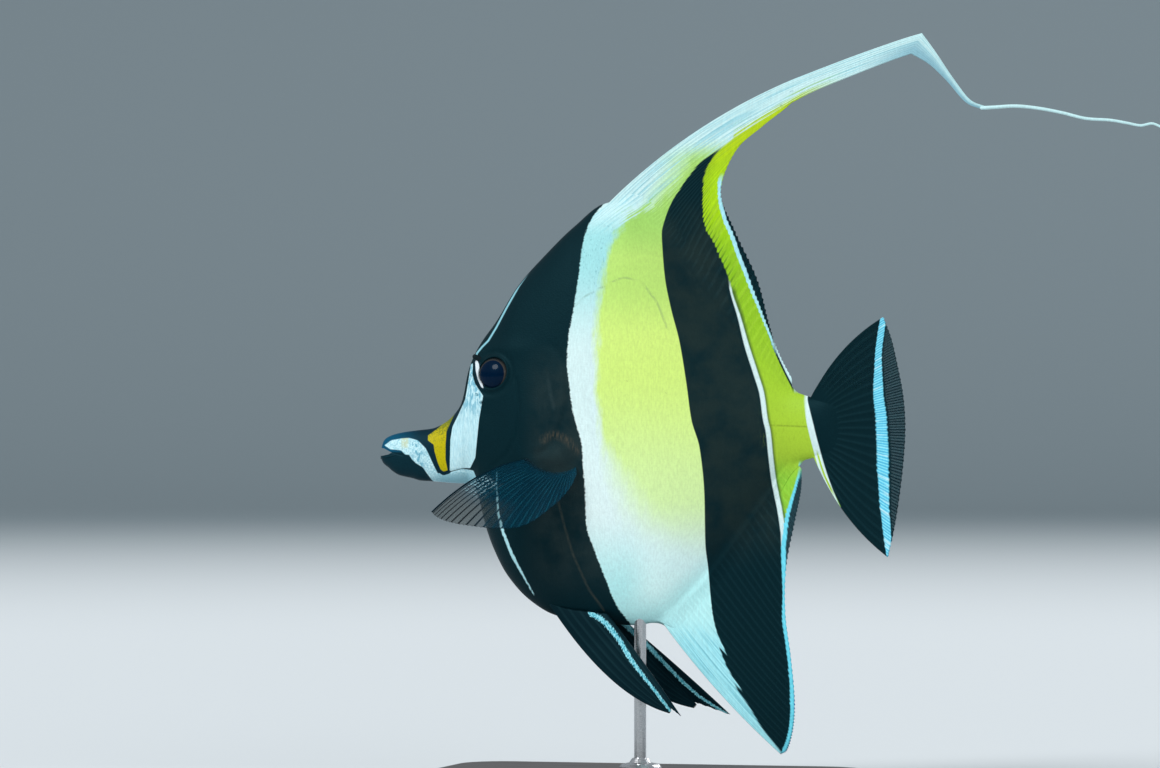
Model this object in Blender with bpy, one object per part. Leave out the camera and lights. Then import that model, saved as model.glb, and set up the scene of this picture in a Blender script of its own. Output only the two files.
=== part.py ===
# Moorish idol fish, life size, as a still display model on a flat stand with one rod.
# The fish is drawn in its own side view in millimetres: x runs back from the snout tip,
# y to the fish's right and z up from the level of the mouth. place() turns the tail
# aside, sets the fish over its stand and changes millimetres to metres.

import math

import bmesh
import bpy
import numpy as np
from mathutils import Matrix, Vector

# Scale and clearance
MM = 0.001
GAP = 0.3

# Body outline seen from the side, (x, z)
TOP_LINE = [
    (0.0, -3.6), (0.5, -1.2), (1.6, 0.4), (7.2, 2.3), (12.3, 3.0), (17.4, 3.6), (22.5, 5.9),
    (26.0, 9.2), (28.0, 12.4), (29.4, 17.2), (30.7, 24.0), (33.1, 29.7), (40.0, 39.6),
    (47.1, 50.8), (56.4, 61.0), (66.6, 70.6), (76.5, 77.6), (83.7, 78.2), (90.5, 74.2),
    (98.4, 66.7), (110.0, 52.1), (121.3, 38.0), (132.5, 24.4), (140.1, 16.6),
    (145.2, 14.6), (151.0, 13.4),
]
LOW_LINE = [
    (0.0, -6.6), (0.6, -7.9), (2.4, -9.4), (4.4, -11.0), (6.1, -11.9), (10.6, -12.9),
    (13.7, -13.7), (17.4, -13.9), (25.6, -14.5), (30.7, -14.8), (32.8, -16.8),
    (34.5, -21.5), (36.2, -28.7), (38.9, -36.3), (43.7, -45.2), (51.2, -53.1),
    (59.4, -57.8), (71.7, -60.4), (86.4, -61.0), (96.0, -59.2), (109.3, -48.2),
    (121.3, -33.3), (132.5, -17.8), (140.1, -7.9), (145.2, -6.3), (151.0, -5.2),
]
# Half of the body's breadth along x
BREADTH = [
    (0.0, 1.3), (0.6, 2.0), (2.4, 2.8), (6.0, 3.4), (12.3, 4.0), (17.4, 4.3), (24.0, 5.4),
    (30.7, 7.4), (38.6, 9.6), (48.0, 11.8), (61.5, 13.6), (75.0, 14.2), (92.0, 13.0),
    (109.0, 10.2), (126.0, 6.6), (140.1, 4.1), (147.5, 3.0), (151.0, 2.2),
]
SNOUT_SQUARENESS = 0.5
FLANK_SQUARENESS = 0.6
BODY_RINGS = 54
RING_SIDE = 14

# Thin cuts that part the body, (x, z) from edge to edge
NECK_CUT = [
    (64.0, 84.0), (67.2, 55.0), (68.4, 30.0), (68.2, 12.0), (65.4, 1.0), (58.5, -4.6),
    (52.5, -12.0), (48.0, -22.0), (44.0, -34.0), (38.0, -50.0),
]
TAIL_CUT = [(138.5, 30.0), (137.0, 12.0), (137.0, -2.0), (138.5, -20.0)]
JAW_CUT = [
    (3.4, -4.2), (7.8, -4.3), (9.4, -5.4), (11.6, -7.2), (13.6, -8.8), (15.6, -10.6),
    (16.9, -12.6), (17.8, -16.0),
]
LIP_CUT = [(8.9, 5.0), (8.3, 1.0), (8.2, -2.0), (8.4, -4.7)]
MOUTH_WEDGE = [
    (-3.0, -2.4), (1.5, -3.0), (3.0, -3.7), (4.2, -4.3), (3.2, -5.0), (1.2, -5.4), (-3.0, -5.8),
]
CUT_REACH = 24.0

# A point inside each length of the body
BODY_PARTS = {
    "upper_jaw": (4.5, -1.0), "lower_jaw": (8.0, -9.5), "head": (45.0, 10.0),
    "torso": (95.0, 5.0), "tail_stem": (145.0, 4.0),
}

# Lips: beads along the edges of the mouth, from its middle to its corner
UPPER_LIP = [(1.0, 0.0, -1.9), (1.5, -1.5, -2.2), (3.2, -2.6, -2.9), (6.4, -3.25, -3.5)]
LOWER_LIP = [(0.6, 0.0, -6.2), (1.1, -1.5, -6.1), (2.9, -2.6, -5.8), (6.4, -3.3, -5.1)]
LIP_RADIUS = 0.8
LIP_CORNER_RADIUS = 0.42

# Head furniture
EYE_AT = (41.2, 6.3, 21.8)
EYE_SIZE = (6.1, 3.7, 5.7)
EYE_TURN = math.radians(14.0)
EYE_TILT = math.radians(9.0)
RIM_RADIUS = 5.9
RIM_THICK = 0.55
RIM_OUT = 8.2
HORN_AT = (35.4, 4.3, 26.6)
HORN_TIP = (31.9, 6.3, 28.4)
HORN_RADIUS = 1.15
NOSTRILS = [(35.2, 14.6, 0.75), (37.0, 12.2, 0.6)]
GILL_AT = (57.7, 13.4)
GILL_SIZE = (9.2, 17.0)
GILL_LEAN = math.radians(-8.0)
GILL_DEPTH = 8.4
GILL_RAISE = 0.45
GILL_POINTS = 36

# Fins: key rays as (root, tip, bow), in (x, z), from the leading ray to the last
DORSAL_RAYS = [
    ((75.5, 75.6), (140.1, 117.9), 3.9), ((83.0, 76.4), (140.1, 114.2), 3.0),
    ((89.5, 73.6), (140.1, 110.4), 2.4), ((93.9, 70.4), (130.8, 103.2), 1.8),
    ((98.0, 65.8), (121.6, 95.2), 1.2), ((103.2, 59.6), (116.4, 81.8), 0.6),
    ((110.0, 50.6), (121.2, 68.8), 0.3), ((118.9, 39.6), (128.6, 53.2), 0.2),
    ((127.1, 30.2), (132.6, 38.6), 0.1), ((133.9, 22.2), (136.0, 28.4), 0.0),
    ((140.1, 15.6), (141.6, 17.9), 0.0),
]
ANAL_RAYS = [
    ((93.4, -58.6), (136.6, -103.0), -2.4), ((98.6, -57.0), (138.9, -101.2), -1.6),
    ((104.0, -52.4), (140.8, -94.0), -1.0), ((109.4, -47.0), (141.2, -84.6), -0.6),
    ((115.4, -39.4), (139.9, -71.0), -0.4), ((121.2, -32.2), (138.7, -57.0), -0.2),
    ((127.0, -24.4), (139.6, -41.6), 0.0), ((132.4, -16.8), (141.4, -27.0), 0.0),
    ((137.6, -9.8), (144.4, -16.6), 0.0), ((141.2, -6.6), (144.6, -10.2), 0.0),
]
CAUDAL_RAYS = [
    ((148.0, 13.0), (175.6, 40.2), 3.3), ((148.2, 10.8), (178.8, 33.0), 2.0),
    ((148.4, 8.6), (181.2, 24.4), 1.0), ((148.4, 6.2), (183.4, 14.6), 0.4),
    ((148.4, 3.8), (184.2, 4.6), 0.0), ((148.4, 1.6), (183.5, -6.4), -0.4),
    ((148.4, -0.6), (181.9, -18.0), -1.0), ((148.2, -2.8), (179.8, -28.8), -2.0),
    ((148.0, -5.0), (177.4, -37.8), -3.3),
]
# Paired fins' key rays as (root, tip) in (x, outward y, z), and a bow
PELVIC_RAYS = [
    ((57.6, 2.0, -53.2), (103.2, 16.6, -89.0), -6.6), ((64.6, 3.0, -55.4), (103.6, 17.0, -88.6), -3.8),
    ((71.0, 3.8, -56.4), (103.9, 17.4, -88.1), -1.5), ((76.0, 4.4, -57.0), (104.1, 17.8, -87.6), -0.3),
]
PELVIC_THREAD_RIGHT = (115.3, 18.6, -91.4)
PELVIC_THREAD_LEFT = (107.6, 18.2, -90.2)
PECTORAL_RAYS = [
    ((55.6, 11.6, -6.2), (28.2, 38.6, -23.8), -2.4), ((58.2, 11.8, -6.6), (31.4, 36.8, -27.4), -1.6),
    ((61.0, 12.0, -7.2), (38.8, 33.8, -29.6), -1.0), ((63.8, 12.0, -8.0), (47.4, 30.2, -29.8), -0.6),
    ((66.6, 12.0, -8.8), (56.8, 26.2, -27.6), -0.2), ((68.8, 12.0, -9.6), (64.6, 22.6, -21.8), 0.0),
    ((70.6, 12.0, -10.4), (70.2, 18.4, -14.6), 0.0),
]

# Streamer of the dorsal fin: upper and lower edge as a band, then a thread's middle line
BAND_TOP = [(140.4, 118.0), (148.0, 120.8), (162.0, 125.8), (176.0, 130.4), (183.2, 132.6)]
BAND_LOW = [(140.4, 110.6), (148.0, 114.2), (162.0, 119.6), (172.4, 123.4), (179.6, 125.8)]
KINK_TOP = [(183.5, 132.5), (187.0, 126.8), (192.8, 117.6), (199.4, 109.2), (204.0, 108.1)]
KINK_LOW = [(179.9, 125.7), (184.2, 121.6), (190.2, 116.2), (197.8, 109.0), (203.9, 107.1)]
THREAD_LINE = [
    (204.3, 0.0, 107.6), (211.0, 0.2, 108.2), (219.6, 0.6, 107.4), (229.0, 1.2, 105.8),
    (238.4, 1.9, 104.2), (247.4, 2.8, 102.6), (254.8, 3.6, 102.2), (263.2, 4.6, 100.6),
    (273.0, 6.0, 98.6), (283.0, 7.4, 95.8), (294.0, 9.0, 92.4),
]
THREAD_SPLIT = 4
THREAD_RADIUS = 0.62
THREAD_TIP_RADIUS = 0.3

# Thicknesses of the fins, as halves
ROOT_HALF = 1.3
FIN_HALF = 0.28
EDGE_HALF = 0.2
RIDGE = 0.36
RIDGE_FADE = 0.5
ROOT_FADE = 0.22

# Rays in each fin and rows along a ray
DORSAL_COUNT, ANAL_COUNT, CAUDAL_COUNT = 26, 24, 15
PECTORAL_COUNT, PELVIC_COUNT, BAND_COUNT = 12, 6, 4
FIN_ROWS = 6

# Sideways turn of the tail
BEND_START, BEND_END = 134.0, 151.0
BEND_ANGLE = math.radians(22.0)
BEND_MIDDLE, BEND_FULL, BEND_NONE = 4.0, 48.0, 78.0

# Stand
ROD_X = 88.8
MOUTH_LEVEL = 118.0
BASE_LONG, BASE_WIDE, BASE_HIGH = 140.0, 82.0, 9.0
BASE_CORNER, BASE_BEVEL, BASE_EDGE = 16.0, 1.4, 0.5
CORNER_STEPS = 6
ROD_RADIUS, ROD_SIDES, ROD_BEVEL = 2.0, 20, 0.5
SOCKET_TOP = -51.5
COLLAR = [(7.0, 0.0), (7.0, 1.2), (6.2, 2.0), (3.6, 2.6), (2.6, 4.0)]


# Curves

def monotone(points):
    # A smooth function through the points that never overshoots between them
    xs, ys = np.array(points, float).T
    step = np.diff(xs)
    slope = np.diff(ys) / step
    tangent = np.zeros(len(xs))
    for i in range(1, len(xs) - 1):
        if slope[i - 1] * slope[i] > 0:
            before, after = 2 * step[i] + step[i - 1], step[i] + 2 * step[i - 1]
            tangent[i] = (before + after) / (before / slope[i - 1] + after / slope[i])
    tangent[0], tangent[-1] = slope[0], slope[-1]

    def value(x):
        i = int(np.clip(np.searchsorted(xs, x) - 1, 0, len(xs) - 2))
        t = (x - xs[i]) / step[i]
        return (
            (1 + 2 * t) * (1 - t) ** 2 * ys[i] + t * (1 - t) ** 2 * step[i] * tangent[i]
            + t * t * (3 - 2 * t) * ys[i + 1] + t * t * (t - 1) * step[i] * tangent[i + 1]
        )

    return value


def along(points, t):
    # The point at t, from 0 to 1, of the smooth curve through evenly timed points
    pts = np.array(points, float)
    place = min(max(t, 0.0), 1.0) * (len(pts) - 1)
    i = min(int(place), len(pts) - 2)
    f = place - i
    a = pts[i - 1] if i > 0 else 2 * pts[0] - pts[1]
    d = pts[i + 2] if i + 2 < len(pts) else 2 * pts[-1] - pts[-2]
    b, c = pts[i], pts[i + 1]
    cubic = 3 * b - a - 3 * c + d
    return 0.5 * (2 * b + (c - a) * f + (2 * a - 5 * b + 4 * c - d) * f * f + cubic * f ** 3)


def ease(low, high, x):
    t = min(max((x - low) / (high - low), 0.0), 1.0)
    return t * t * (3 - 2 * t)


top_of, low_of, breadth_of = monotone(TOP_LINE), monotone(LOW_LINE), monotone(BREADTH)


# Mesh helpers

def clear_scene():
    for obj in list(bpy.data.objects):
        bpy.data.objects.remove(obj, do_unlink=True)


def new_object(name, points, faces):
    mesh = bpy.data.meshes.new(name)
    mesh.from_pydata([tuple(map(float, p)) for p in points], [], faces)
    obj = bpy.data.objects.new(name, mesh)
    bpy.context.scene.collection.objects.link(obj)
    bm = bmesh.new()
    bm.from_mesh(mesh)
    bmesh.ops.recalc_face_normals(bm, faces=bm.faces)
    bm.to_mesh(mesh)
    bm.free()
    return obj


def boolean(obj, tool, operation, solver="EXACT"):
    cut = obj.modifiers.new("boolean", "BOOLEAN")
    cut.operation = operation
    cut.solver = solver
    cut.object = tool
    bpy.context.view_layer.objects.active = obj
    bpy.ops.object.modifier_apply(modifier=cut.name)
    bpy.data.objects.remove(tool, do_unlink=True)


def pieces_of(obj):
    # The closed surfaces of an object, each as (points, faces), largest first
    bm = bmesh.new()
    bm.from_mesh(obj.data)
    bmesh.ops.remove_doubles(bm, verts=bm.verts, dist=0.002)
    bmesh.ops.triangulate(bm, faces=bm.faces)
    bm.verts.ensure_lookup_table()
    seen, found = set(), []
    for start in bm.verts:
        if start in seen:
            continue
        group, stack = [], [start]
        seen.add(start)
        while stack:
            vert = stack.pop()
            group.append(vert)
            for edge in vert.link_edges:
                other = edge.other_vert(vert)
                if other not in seen:
                    seen.add(other)
                    stack.append(other)
        index = {vert: i for i, vert in enumerate(group)}
        faces = [[index[v] for v in face.verts] for face in bm.faces if face.verts[0] in index]
        found.append(([tuple(v.co) for v in group], faces))
    bm.free()
    return sorted(found, key=lambda piece: -abs(volume_of(*piece)))


def volume_of(points, faces):
    return sum(Vector(points[a]).dot(Vector(points[b]).cross(Vector(points[c]))) for a, b, c in faces) / 6


def keep_largest(obj):
    points, faces = pieces_of(obj)[0]
    name = obj.name
    bpy.data.objects.remove(obj, do_unlink=True)
    return new_object(name, points, faces)


def rings_solid(name, rings):
    # A closed solid over rings of points, with a flat cap at each end
    count = len(rings[0])
    points = [p for ring in rings for p in ring]
    faces = []
    for i in range(len(rings) - 1):
        for j in range(count):
            a, b = i * count + j, i * count + (j + 1) % count
            faces.append([a, b, b + count, a + count])
    faces.append(list(range(count))[::-1])
    faces.append([(len(rings) - 1) * count + j for j in range(count)])
    return new_object(name, points, faces)


def sheet_solid(name, middle, normal, half):
    # A thin solid over a grid of middle points, split into triangles alike on both faces
    rows, cols = len(middle), len(middle[0])
    points = []
    for side in (1, -1):
        for i in range(rows):
            for j in range(cols):
                points.append(np.array(middle[i][j]) + side * half[i][j] * np.array(normal[i][j]))
    back = rows * cols
    faces = []
    for i in range(rows - 1):
        for j in range(cols - 1):
            a, b, c, d = i * cols + j, i * cols + j + 1, (i + 1) * cols + j + 1, (i + 1) * cols + j
            faces += [[a, b, c], [a, c, d], [back + a, back + c, back + b], [back + a, back + d, back + c]]
    rim = [(i, 0) for i in range(rows)] + [(rows - 1, j) for j in range(1, cols)]
    rim += [(i, cols - 1) for i in range(rows - 2, -1, -1)] + [(0, j) for j in range(cols - 2, 0, -1)]
    edge = [i * cols + j for i, j in rim]
    for k, a in enumerate(edge):
        b = edge[(k + 1) % len(edge)]
        faces += [[a, b, back + b], [a, back + b, back + a]]
    return new_object(name, points, faces)


def tube_solid(name, path, radii, sides):
    # A round solid along a path, whose rings stand square to it
    path = [Vector(p) for p in path]
    rings = []
    for i, point in enumerate(path):
        radius = float(radii[i])
        ahead = (path[min(i + 1, len(path) - 1)] - path[max(i - 1, 0)]).normalized()
        across = ahead.cross(Vector((0.05, 0.1, 1.0))).normalized()
        over = ahead.cross(across)
        turns = [2 * math.pi * k / sides for k in range(sides)]
        rings.append([point + radius * (math.cos(a) * across + math.sin(a) * over) for a in turns])
    return rings_solid(name, rings)


def prism(name, outline, low, high):
    # A solid of a side-view outline that runs from y = low to y = high
    return rings_solid(name, [[(x, low, z) for x, z in outline], [(x, high, z) for x, z in outline]])


def ribbon(name, line):
    # A cutter as thick as the gap along a side-view curve
    steps = 4 * (len(line) - 1)
    middle = [along(line, k / steps) for k in range(steps + 1)]
    left, right = [], []
    for k, point in enumerate(middle):
        ahead = middle[min(k + 1, steps)] - middle[max(k - 1, 0)]
        square = np.array([-ahead[1], ahead[0]]) / np.hypot(*ahead)
        left.append(point + square * GAP / 2)
        right.append(point - square * GAP / 2)
    return prism(name, left + right[::-1], -CUT_REACH, CUT_REACH)


def ellipsoid(name, centre, size, turn, tilt, grow, segments, rings):
    bm = bmesh.new()
    bmesh.ops.create_uvsphere(bm, u_segments=segments, v_segments=rings, radius=1.0)
    side = 1 if centre[1] > 0 else -1
    spin = Matrix.Rotation(side * turn, 4, "Z") @ Matrix.Rotation(side * tilt, 4, "X")
    size = Matrix.Diagonal((size[0] + grow, size[1] + grow, size[2] + grow, 1))
    poles_out = Matrix.Rotation(math.pi / 2, 4, "X")
    bmesh.ops.transform(bm, matrix=Matrix.Translation(centre) @ spin @ size @ poles_out, verts=bm.verts)
    mesh = bpy.data.meshes.new(name)
    bm.to_mesh(mesh)
    bm.free()
    obj = bpy.data.objects.new(name, mesh)
    bpy.context.scene.collection.objects.link(obj)
    return obj


def mirrored(point, side):
    return (point[0], side * point[1], point[2])


# Placing and finish

def bent(p):
    # The tail turned to the fish's left behind the body, fading out far above and below it
    x, y, z = p
    if x <= BEND_START:
        return (x, y, z)
    full = BEND_ANGLE * (1 - ease(BEND_FULL, BEND_NONE, abs(z - BEND_MIDDLE)))
    if full < 1e-6:
        return (x, y, z)
    run = BEND_END - BEND_START
    angle = full * min((x - BEND_START) / run, 1.0)
    radius = run / full
    beyond = max(x - BEND_END, 0.0)
    centre_x = BEND_START + radius * math.sin(angle) + beyond * math.cos(full)
    centre_y = -radius * (1 - math.cos(angle)) - beyond * math.sin(full)
    return (centre_x + y * math.sin(angle), centre_y + y * math.cos(angle), z)


def place(obj, material, sharp=40):
    # The finished sub-part in the frame of the stand, in metres
    for vert in obj.data.vertices:
        x, y, z = bent(vert.co)
        vert.co = ((x - ROD_X) * MM, y * MM, (z + MOUTH_LEVEL) * MM)
    finish(obj, material, sharp)


def finish(obj, material, sharp):
    obj.data.shade_smooth()
    obj.data.set_sharp_from_angle(angle=math.radians(sharp))
    obj.data.materials.clear()
    obj.data.materials.append(material)


def principled(name, colour, roughness, metallic=0.0):
    material = bpy.data.materials.new(name)
    material.use_nodes = True
    shader = material.node_tree.nodes["Principled BSDF"]
    shader.inputs["Base Color"].default_value = (*colour, 1.0)
    shader.inputs["Roughness"].default_value = roughness
    shader.inputs["Metallic"].default_value = metallic
    return material


def black_skin(name):
    return principled(name, (0.012, 0.018, 0.022), 0.45)


def white_skin(name):
    return principled(name, (0.72, 0.80, 0.78), 0.4)


def yellow_skin(name):
    return principled(name, (0.62, 0.74, 0.16), 0.45)


def dusky_membrane(name):
    return principled(name, (0.05, 0.075, 0.09), 0.35)


def eye_gloss(name):
    return principled(name, (0.008, 0.008, 0.012), 0.06)


def stand_lacquer(name):
    return principled(name, (0.03, 0.03, 0.033), 0.35)


def stand_steel(name):
    return principled(name, (0.55, 0.56, 0.58), 0.3, 1.0)


# Body

def body_stations():
    # x of each ring, closer together where the outline climbs steeply
    fine = np.linspace(0.0, TOP_LINE[-1][0], 1200)
    tops = np.array([top_of(x) for x in fine])
    lows = np.array([low_of(x) for x in fine])
    climb = 0.5 * (np.abs(np.diff(tops)) + np.abs(np.diff(lows)))
    cost = np.concatenate([[0.0], np.cumsum(np.hypot(np.diff(fine), climb))])
    return np.interp(np.linspace(0, cost[-1], BODY_RINGS), cost, fine)


def body_solid(name, grow=0.0):
    # The whole body from lips to tail root, each point moved outwards by grow
    rings = []
    for x in body_stations():
        top, low, half = top_of(x), low_of(x), breadth_of(x)
        middle, high = (top + low) / 2, (top - low) / 2
        square = SNOUT_SQUARENESS + (FLANK_SQUARENESS - SNOUT_SQUARENESS) * ease(20.0, 45.0, x)
        ring = []
        for k in range(2 * RING_SIDE):
            angle = math.pi * (k / RING_SIDE - 0.5)
            across = abs(math.cos(angle)) ** (2 * square)
            side = 1 if k <= RING_SIDE else -1
            ring.append((x, side * half * across, middle + high * math.sin(angle)))
        rings.append(ring)
    obj = rings_solid(name, rings)
    if grow:
        bm = bmesh.new()
        bm.from_mesh(obj.data)
        bm.normal_update()
        for vert, normal in [(v, v.normal.copy()) for v in bm.verts]:
            vert.co += normal * grow
        bm.to_mesh(obj.data)
        bm.free()
    return obj


def flank(x, z):
    # Half of the body's breadth at a point of its side view
    top, low = top_of(x), low_of(x)
    square = SNOUT_SQUARENESS + (FLANK_SQUARENESS - SNOUT_SQUARENESS) * ease(20.0, 45.0, x)
    level = min(max((2 * z - top - low) / (top - low), -1.0), 1.0)
    return breadth_of(x) * (1 - level * level) ** square


def gill_outline(grow):
    outline = []
    for k in range(GILL_POINTS):
        angle = 2 * math.pi * k / GILL_POINTS
        x, z = (GILL_SIZE[0] + grow) * math.cos(angle), (GILL_SIZE[1] + grow) * math.sin(angle)
        turned_x = x * math.cos(GILL_LEAN) - z * math.sin(GILL_LEAN)
        turned_z = x * math.sin(GILL_LEAN) + z * math.cos(GILL_LEAN)
        outline.append((GILL_AT[0] + turned_x, GILL_AT[1] + turned_z))
    return outline


def eye_rim(side):
    # The raised edge of the eye's socket
    ring = []
    steps = 24
    turn = Matrix.Rotation(side * EYE_TURN, 3, "Z") @ Matrix.Rotation(side * EYE_TILT, 3, "X")
    for k in range(steps):
        angle = 2 * math.pi * k / steps
        ring.append(turn @ Vector((RIM_RADIUS * math.cos(angle), 0, RIM_RADIUS * math.sin(angle))))
    centre = Vector((EYE_AT[0], side * RIM_OUT, EYE_AT[2]))
    outward = turn @ Vector((0, side, 0))
    points, faces, around = [], [], 6
    for spoke in ring:
        for m in range(around):
            angle = 2 * math.pi * m / around
            radial = spoke.normalized()
            rise = RIM_THICK * (math.cos(angle) * radial + math.sin(angle) * outward)
            points.append(centre + spoke + rise)
    for k in range(steps):
        for m in range(around):
            n, w = (k + 1) % steps, (m + 1) % around
            faces.append([k * around + m, k * around + w, n * around + w, n * around + m])
    return new_object("eye_rim", points, faces)


def cut_body():
    # The body with its sockets and thin cuts, as one closed surface for each named length
    body = body_solid("body")
    for side in (-1, 1):
        boolean(body, eye_rim(side), "UNION")
        eye = ellipsoid("socket", mirrored(EYE_AT, side), EYE_SIZE, EYE_TURN, EYE_TILT, GAP, 24, 12)
        boolean(body, eye, "DIFFERENCE")
        reach = (GILL_DEPTH, CUT_REACH) if side > 0 else (-CUT_REACH, -GILL_DEPTH)
        boolean(body, prism("recess", gill_outline(GAP), *reach), "DIFFERENCE")
        for x, z, radius in NOSTRILS:
            pit = ellipsoid("pit", (x, side * flank(x, z), z), (radius,) * 3, 0, 0, 0, 12, 8)
            boolean(body, pit, "DIFFERENCE")
    hole = [(ROD_X, 0, -80), (ROD_X, 0, SOCKET_TOP + GAP)]
    rod = tube_solid("rod_hole", hole, [ROD_RADIUS + GAP] * 2, ROD_SIDES)
    boolean(body, rod, "DIFFERENCE")
    boolean(body, prism("mouth", MOUTH_WEDGE, -CUT_REACH, CUT_REACH), "DIFFERENCE")
    for name, line in (("jaw", JAW_CUT), ("lip", LIP_CUT), ("neck", NECK_CUT), ("tail", TAIL_CUT)):
        boolean(body, ribbon(name, line), "DIFFERENCE")
    pieces = pieces_of(body)[: len(BODY_PARTS)]
    bpy.data.objects.remove(body, do_unlink=True)
    named = {}
    for name, (x, z) in BODY_PARTS.items():
        def distance(piece):
            middle = np.mean(np.array(piece[0]), axis=0)
            return math.hypot(middle[0] - x, middle[2] - z)
        nearest = min(pieces, key=distance)
        pieces.remove(nearest)
        named[name] = new_object(name, *nearest)
    return named


def lip_bead(name, line):
    # A bead round the front of the mouth that thins towards both corners
    half_path = [along(line, k / 5) for k in range(6)]
    path = [mirrored(p, -1) for p in half_path[:0:-1]] + [tuple(p) for p in half_path]
    radii = []
    for p in path:
        to_corner = abs(p[1]) / abs(line[-1][1])
        radii.append(LIP_RADIUS + (LIP_CORNER_RADIUS - LIP_RADIUS) * to_corner)
    return tube_solid(name, path, radii, 8)


def make_body():
    named = cut_body()
    boolean(named["upper_jaw"], lip_bead("upper_lip", UPPER_LIP), "UNION")
    boolean(named["lower_jaw"], lip_bead("lower_lip", LOWER_LIP), "UNION")
    named["upper_jaw"] = keep_largest(named["upper_jaw"])
    named["lower_jaw"] = keep_largest(named["lower_jaw"])
    skins = {
        "upper_jaw": white_skin, "lower_jaw": black_skin, "head": black_skin,
        "torso": yellow_skin, "tail_stem": yellow_skin,
    }
    for name, obj in named.items():
        place(obj, skins[name](name + "_skin"))


def make_gill_cover(name, side):
    # The raised plate over the gills, set into its recess
    plate = body_solid(name, GILL_RAISE)
    reach = (GILL_DEPTH + GAP, CUT_REACH) if side > 0 else (-CUT_REACH, -GILL_DEPTH - GAP)
    boolean(plate, prism("plate", gill_outline(0.0), *reach), "INTERSECT")
    place(keep_largest(plate), black_skin(name + "_skin"))


def make_eye(name, side):
    eye = ellipsoid(name, mirrored(EYE_AT, side), EYE_SIZE, EYE_TURN, EYE_TILT, 0.0, 24, 12)
    place(eye, eye_gloss(name + "_gloss"))


def make_horn(name, side):
    # The short horn before the eye, cut to the brow that it stands on
    root, tip = Vector(mirrored(HORN_AT, side)), Vector(mirrored(HORN_TIP, side))
    root -= (tip - root) * 0.5
    path = [root.lerp(tip, t) for t in (0.0, 0.3, 0.6, 0.85, 1.0)]
    radii = [HORN_RADIUS, HORN_RADIUS, HORN_RADIUS * 0.75, HORN_RADIUS * 0.5, HORN_RADIUS * 0.25]
    horn = tube_solid(name, path, radii, 10)
    boolean(horn, body_solid("brow", GAP), "DIFFERENCE")
    place(keep_largest(horn), black_skin(name + "_skin"))


# Fins

def key_at(rays, s):
    # Root, tip and bow of the ray at s, from 0 at the leading edge to 1 at the last ray
    width = len(rays[0][0])
    rows = [list(root) + list(tip) + [bow] for root, tip, bow in rays]
    steps = np.linspace(0, 1, len(rows))
    value = np.array([monotone(list(zip(steps, column)))(s) for column in zip(*rows)])
    return value[:width], value[width:2 * width], value[-1]


def ray_half(row_t, ridge_here, root_half):
    # Half of the thickness at row_t along a ray, on its ridge or between ridges
    root = (root_half - FIN_HALF) * (1 - ease(0.0, ROOT_FADE, row_t))
    flat = FIN_HALF + (EDGE_HALF - FIN_HALF) * row_t
    return flat + root + (RIDGE * (1 - RIDGE_FADE * row_t) if ridge_here else 0.0)


def flat_fin(name, rays, count, root_half, end_x=math.inf):
    # A fin in the middle plane as far as end_x, its rays raised as ridges on both faces
    cols = 2 * count + 1
    middle, half = [], []
    for i in range(cols):
        root, tip, bow = key_at(rays, i / (cols - 1))
        chord = tip - root
        square = np.array([-chord[1], chord[0]]) / np.hypot(*chord)
        line, halves = [], []
        for j in range(FIN_ROWS + 1):
            t = j / FIN_ROWS
            x, z = root + chord * t + square * bow * 4 * t * (1 - t)
            line.append((min(x, end_x), 0.0, z))
            halves.append(ray_half(t, i % 2 == 1, root_half))
        middle.append(line)
        half.append(halves)
    normal = [[(0, 1, 0)] * (FIN_ROWS + 1)] * cols
    return sheet_solid(name, middle, normal, half)


def paired_fin(name, rays, count, side, rows, pointed):
    # A fin that stands out from the body, its faces square to its own curved middle. Rays that
    # run together to a point share one direction in each row, so that its faces never cross
    cols = 2 * count + 1
    middle = []
    for i in range(cols):
        root, tip, bow = key_at(rays, i / (cols - 1))
        line = []
        for j in range(rows + 1):
            t = j / rows
            point = root + (tip - root) * t
            point[2] += bow * 4 * t * (1 - t)
            line.append(mirrored(point, side))
        middle.append(line)
    grid = np.array(middle)
    across = np.gradient(grid, axis=0)
    down = np.gradient(grid, axis=1)
    normal = np.cross(across, down)
    normal /= np.linalg.norm(normal, axis=2, keepdims=True)
    if pointed:
        normal[:] = normal.mean(axis=0)
        normal /= np.linalg.norm(normal, axis=2, keepdims=True)
    half = [[ray_half(j / rows, i % 2 == 1, ROOT_HALF) for j in range(rows + 1)] for i in range(cols)]
    return sheet_solid(name, grid, normal, half)


def rooted(fin, grow=GAP):
    # The fin cut to the body's skin, a gap clear of it
    boolean(fin, body_solid("root_cutter", grow), "DIFFERENCE")
    return keep_largest(fin)


def make_dorsal_fin():
    fin = flat_fin("dorsal_fin", DORSAL_RAYS, DORSAL_COUNT, ROOT_HALF, DORSAL_RAYS[0][1][0])
    place(rooted(fin), yellow_skin("dorsal_membrane"), 60)


def make_anal_fin():
    fin = flat_fin("anal_fin", ANAL_RAYS, ANAL_COUNT, ROOT_HALF)
    place(rooted(fin), black_skin("anal_membrane"), 60)


def make_caudal_fin():
    fin = flat_fin("caudal_fin", CAUDAL_RAYS, CAUDAL_COUNT, ROOT_HALF)
    place(rooted(fin), black_skin("caudal_membrane"), 60)


def make_pelvic_fin(name, side, thread):
    rays = PELVIC_RAYS + [((79.0, 4.6, -57.2), thread, 0.6)]
    fin = paired_fin(name, rays, PELVIC_COUNT, side, FIN_ROWS + 2, True)
    place(rooted(fin), black_skin(name + "_membrane"), 60)


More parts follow.
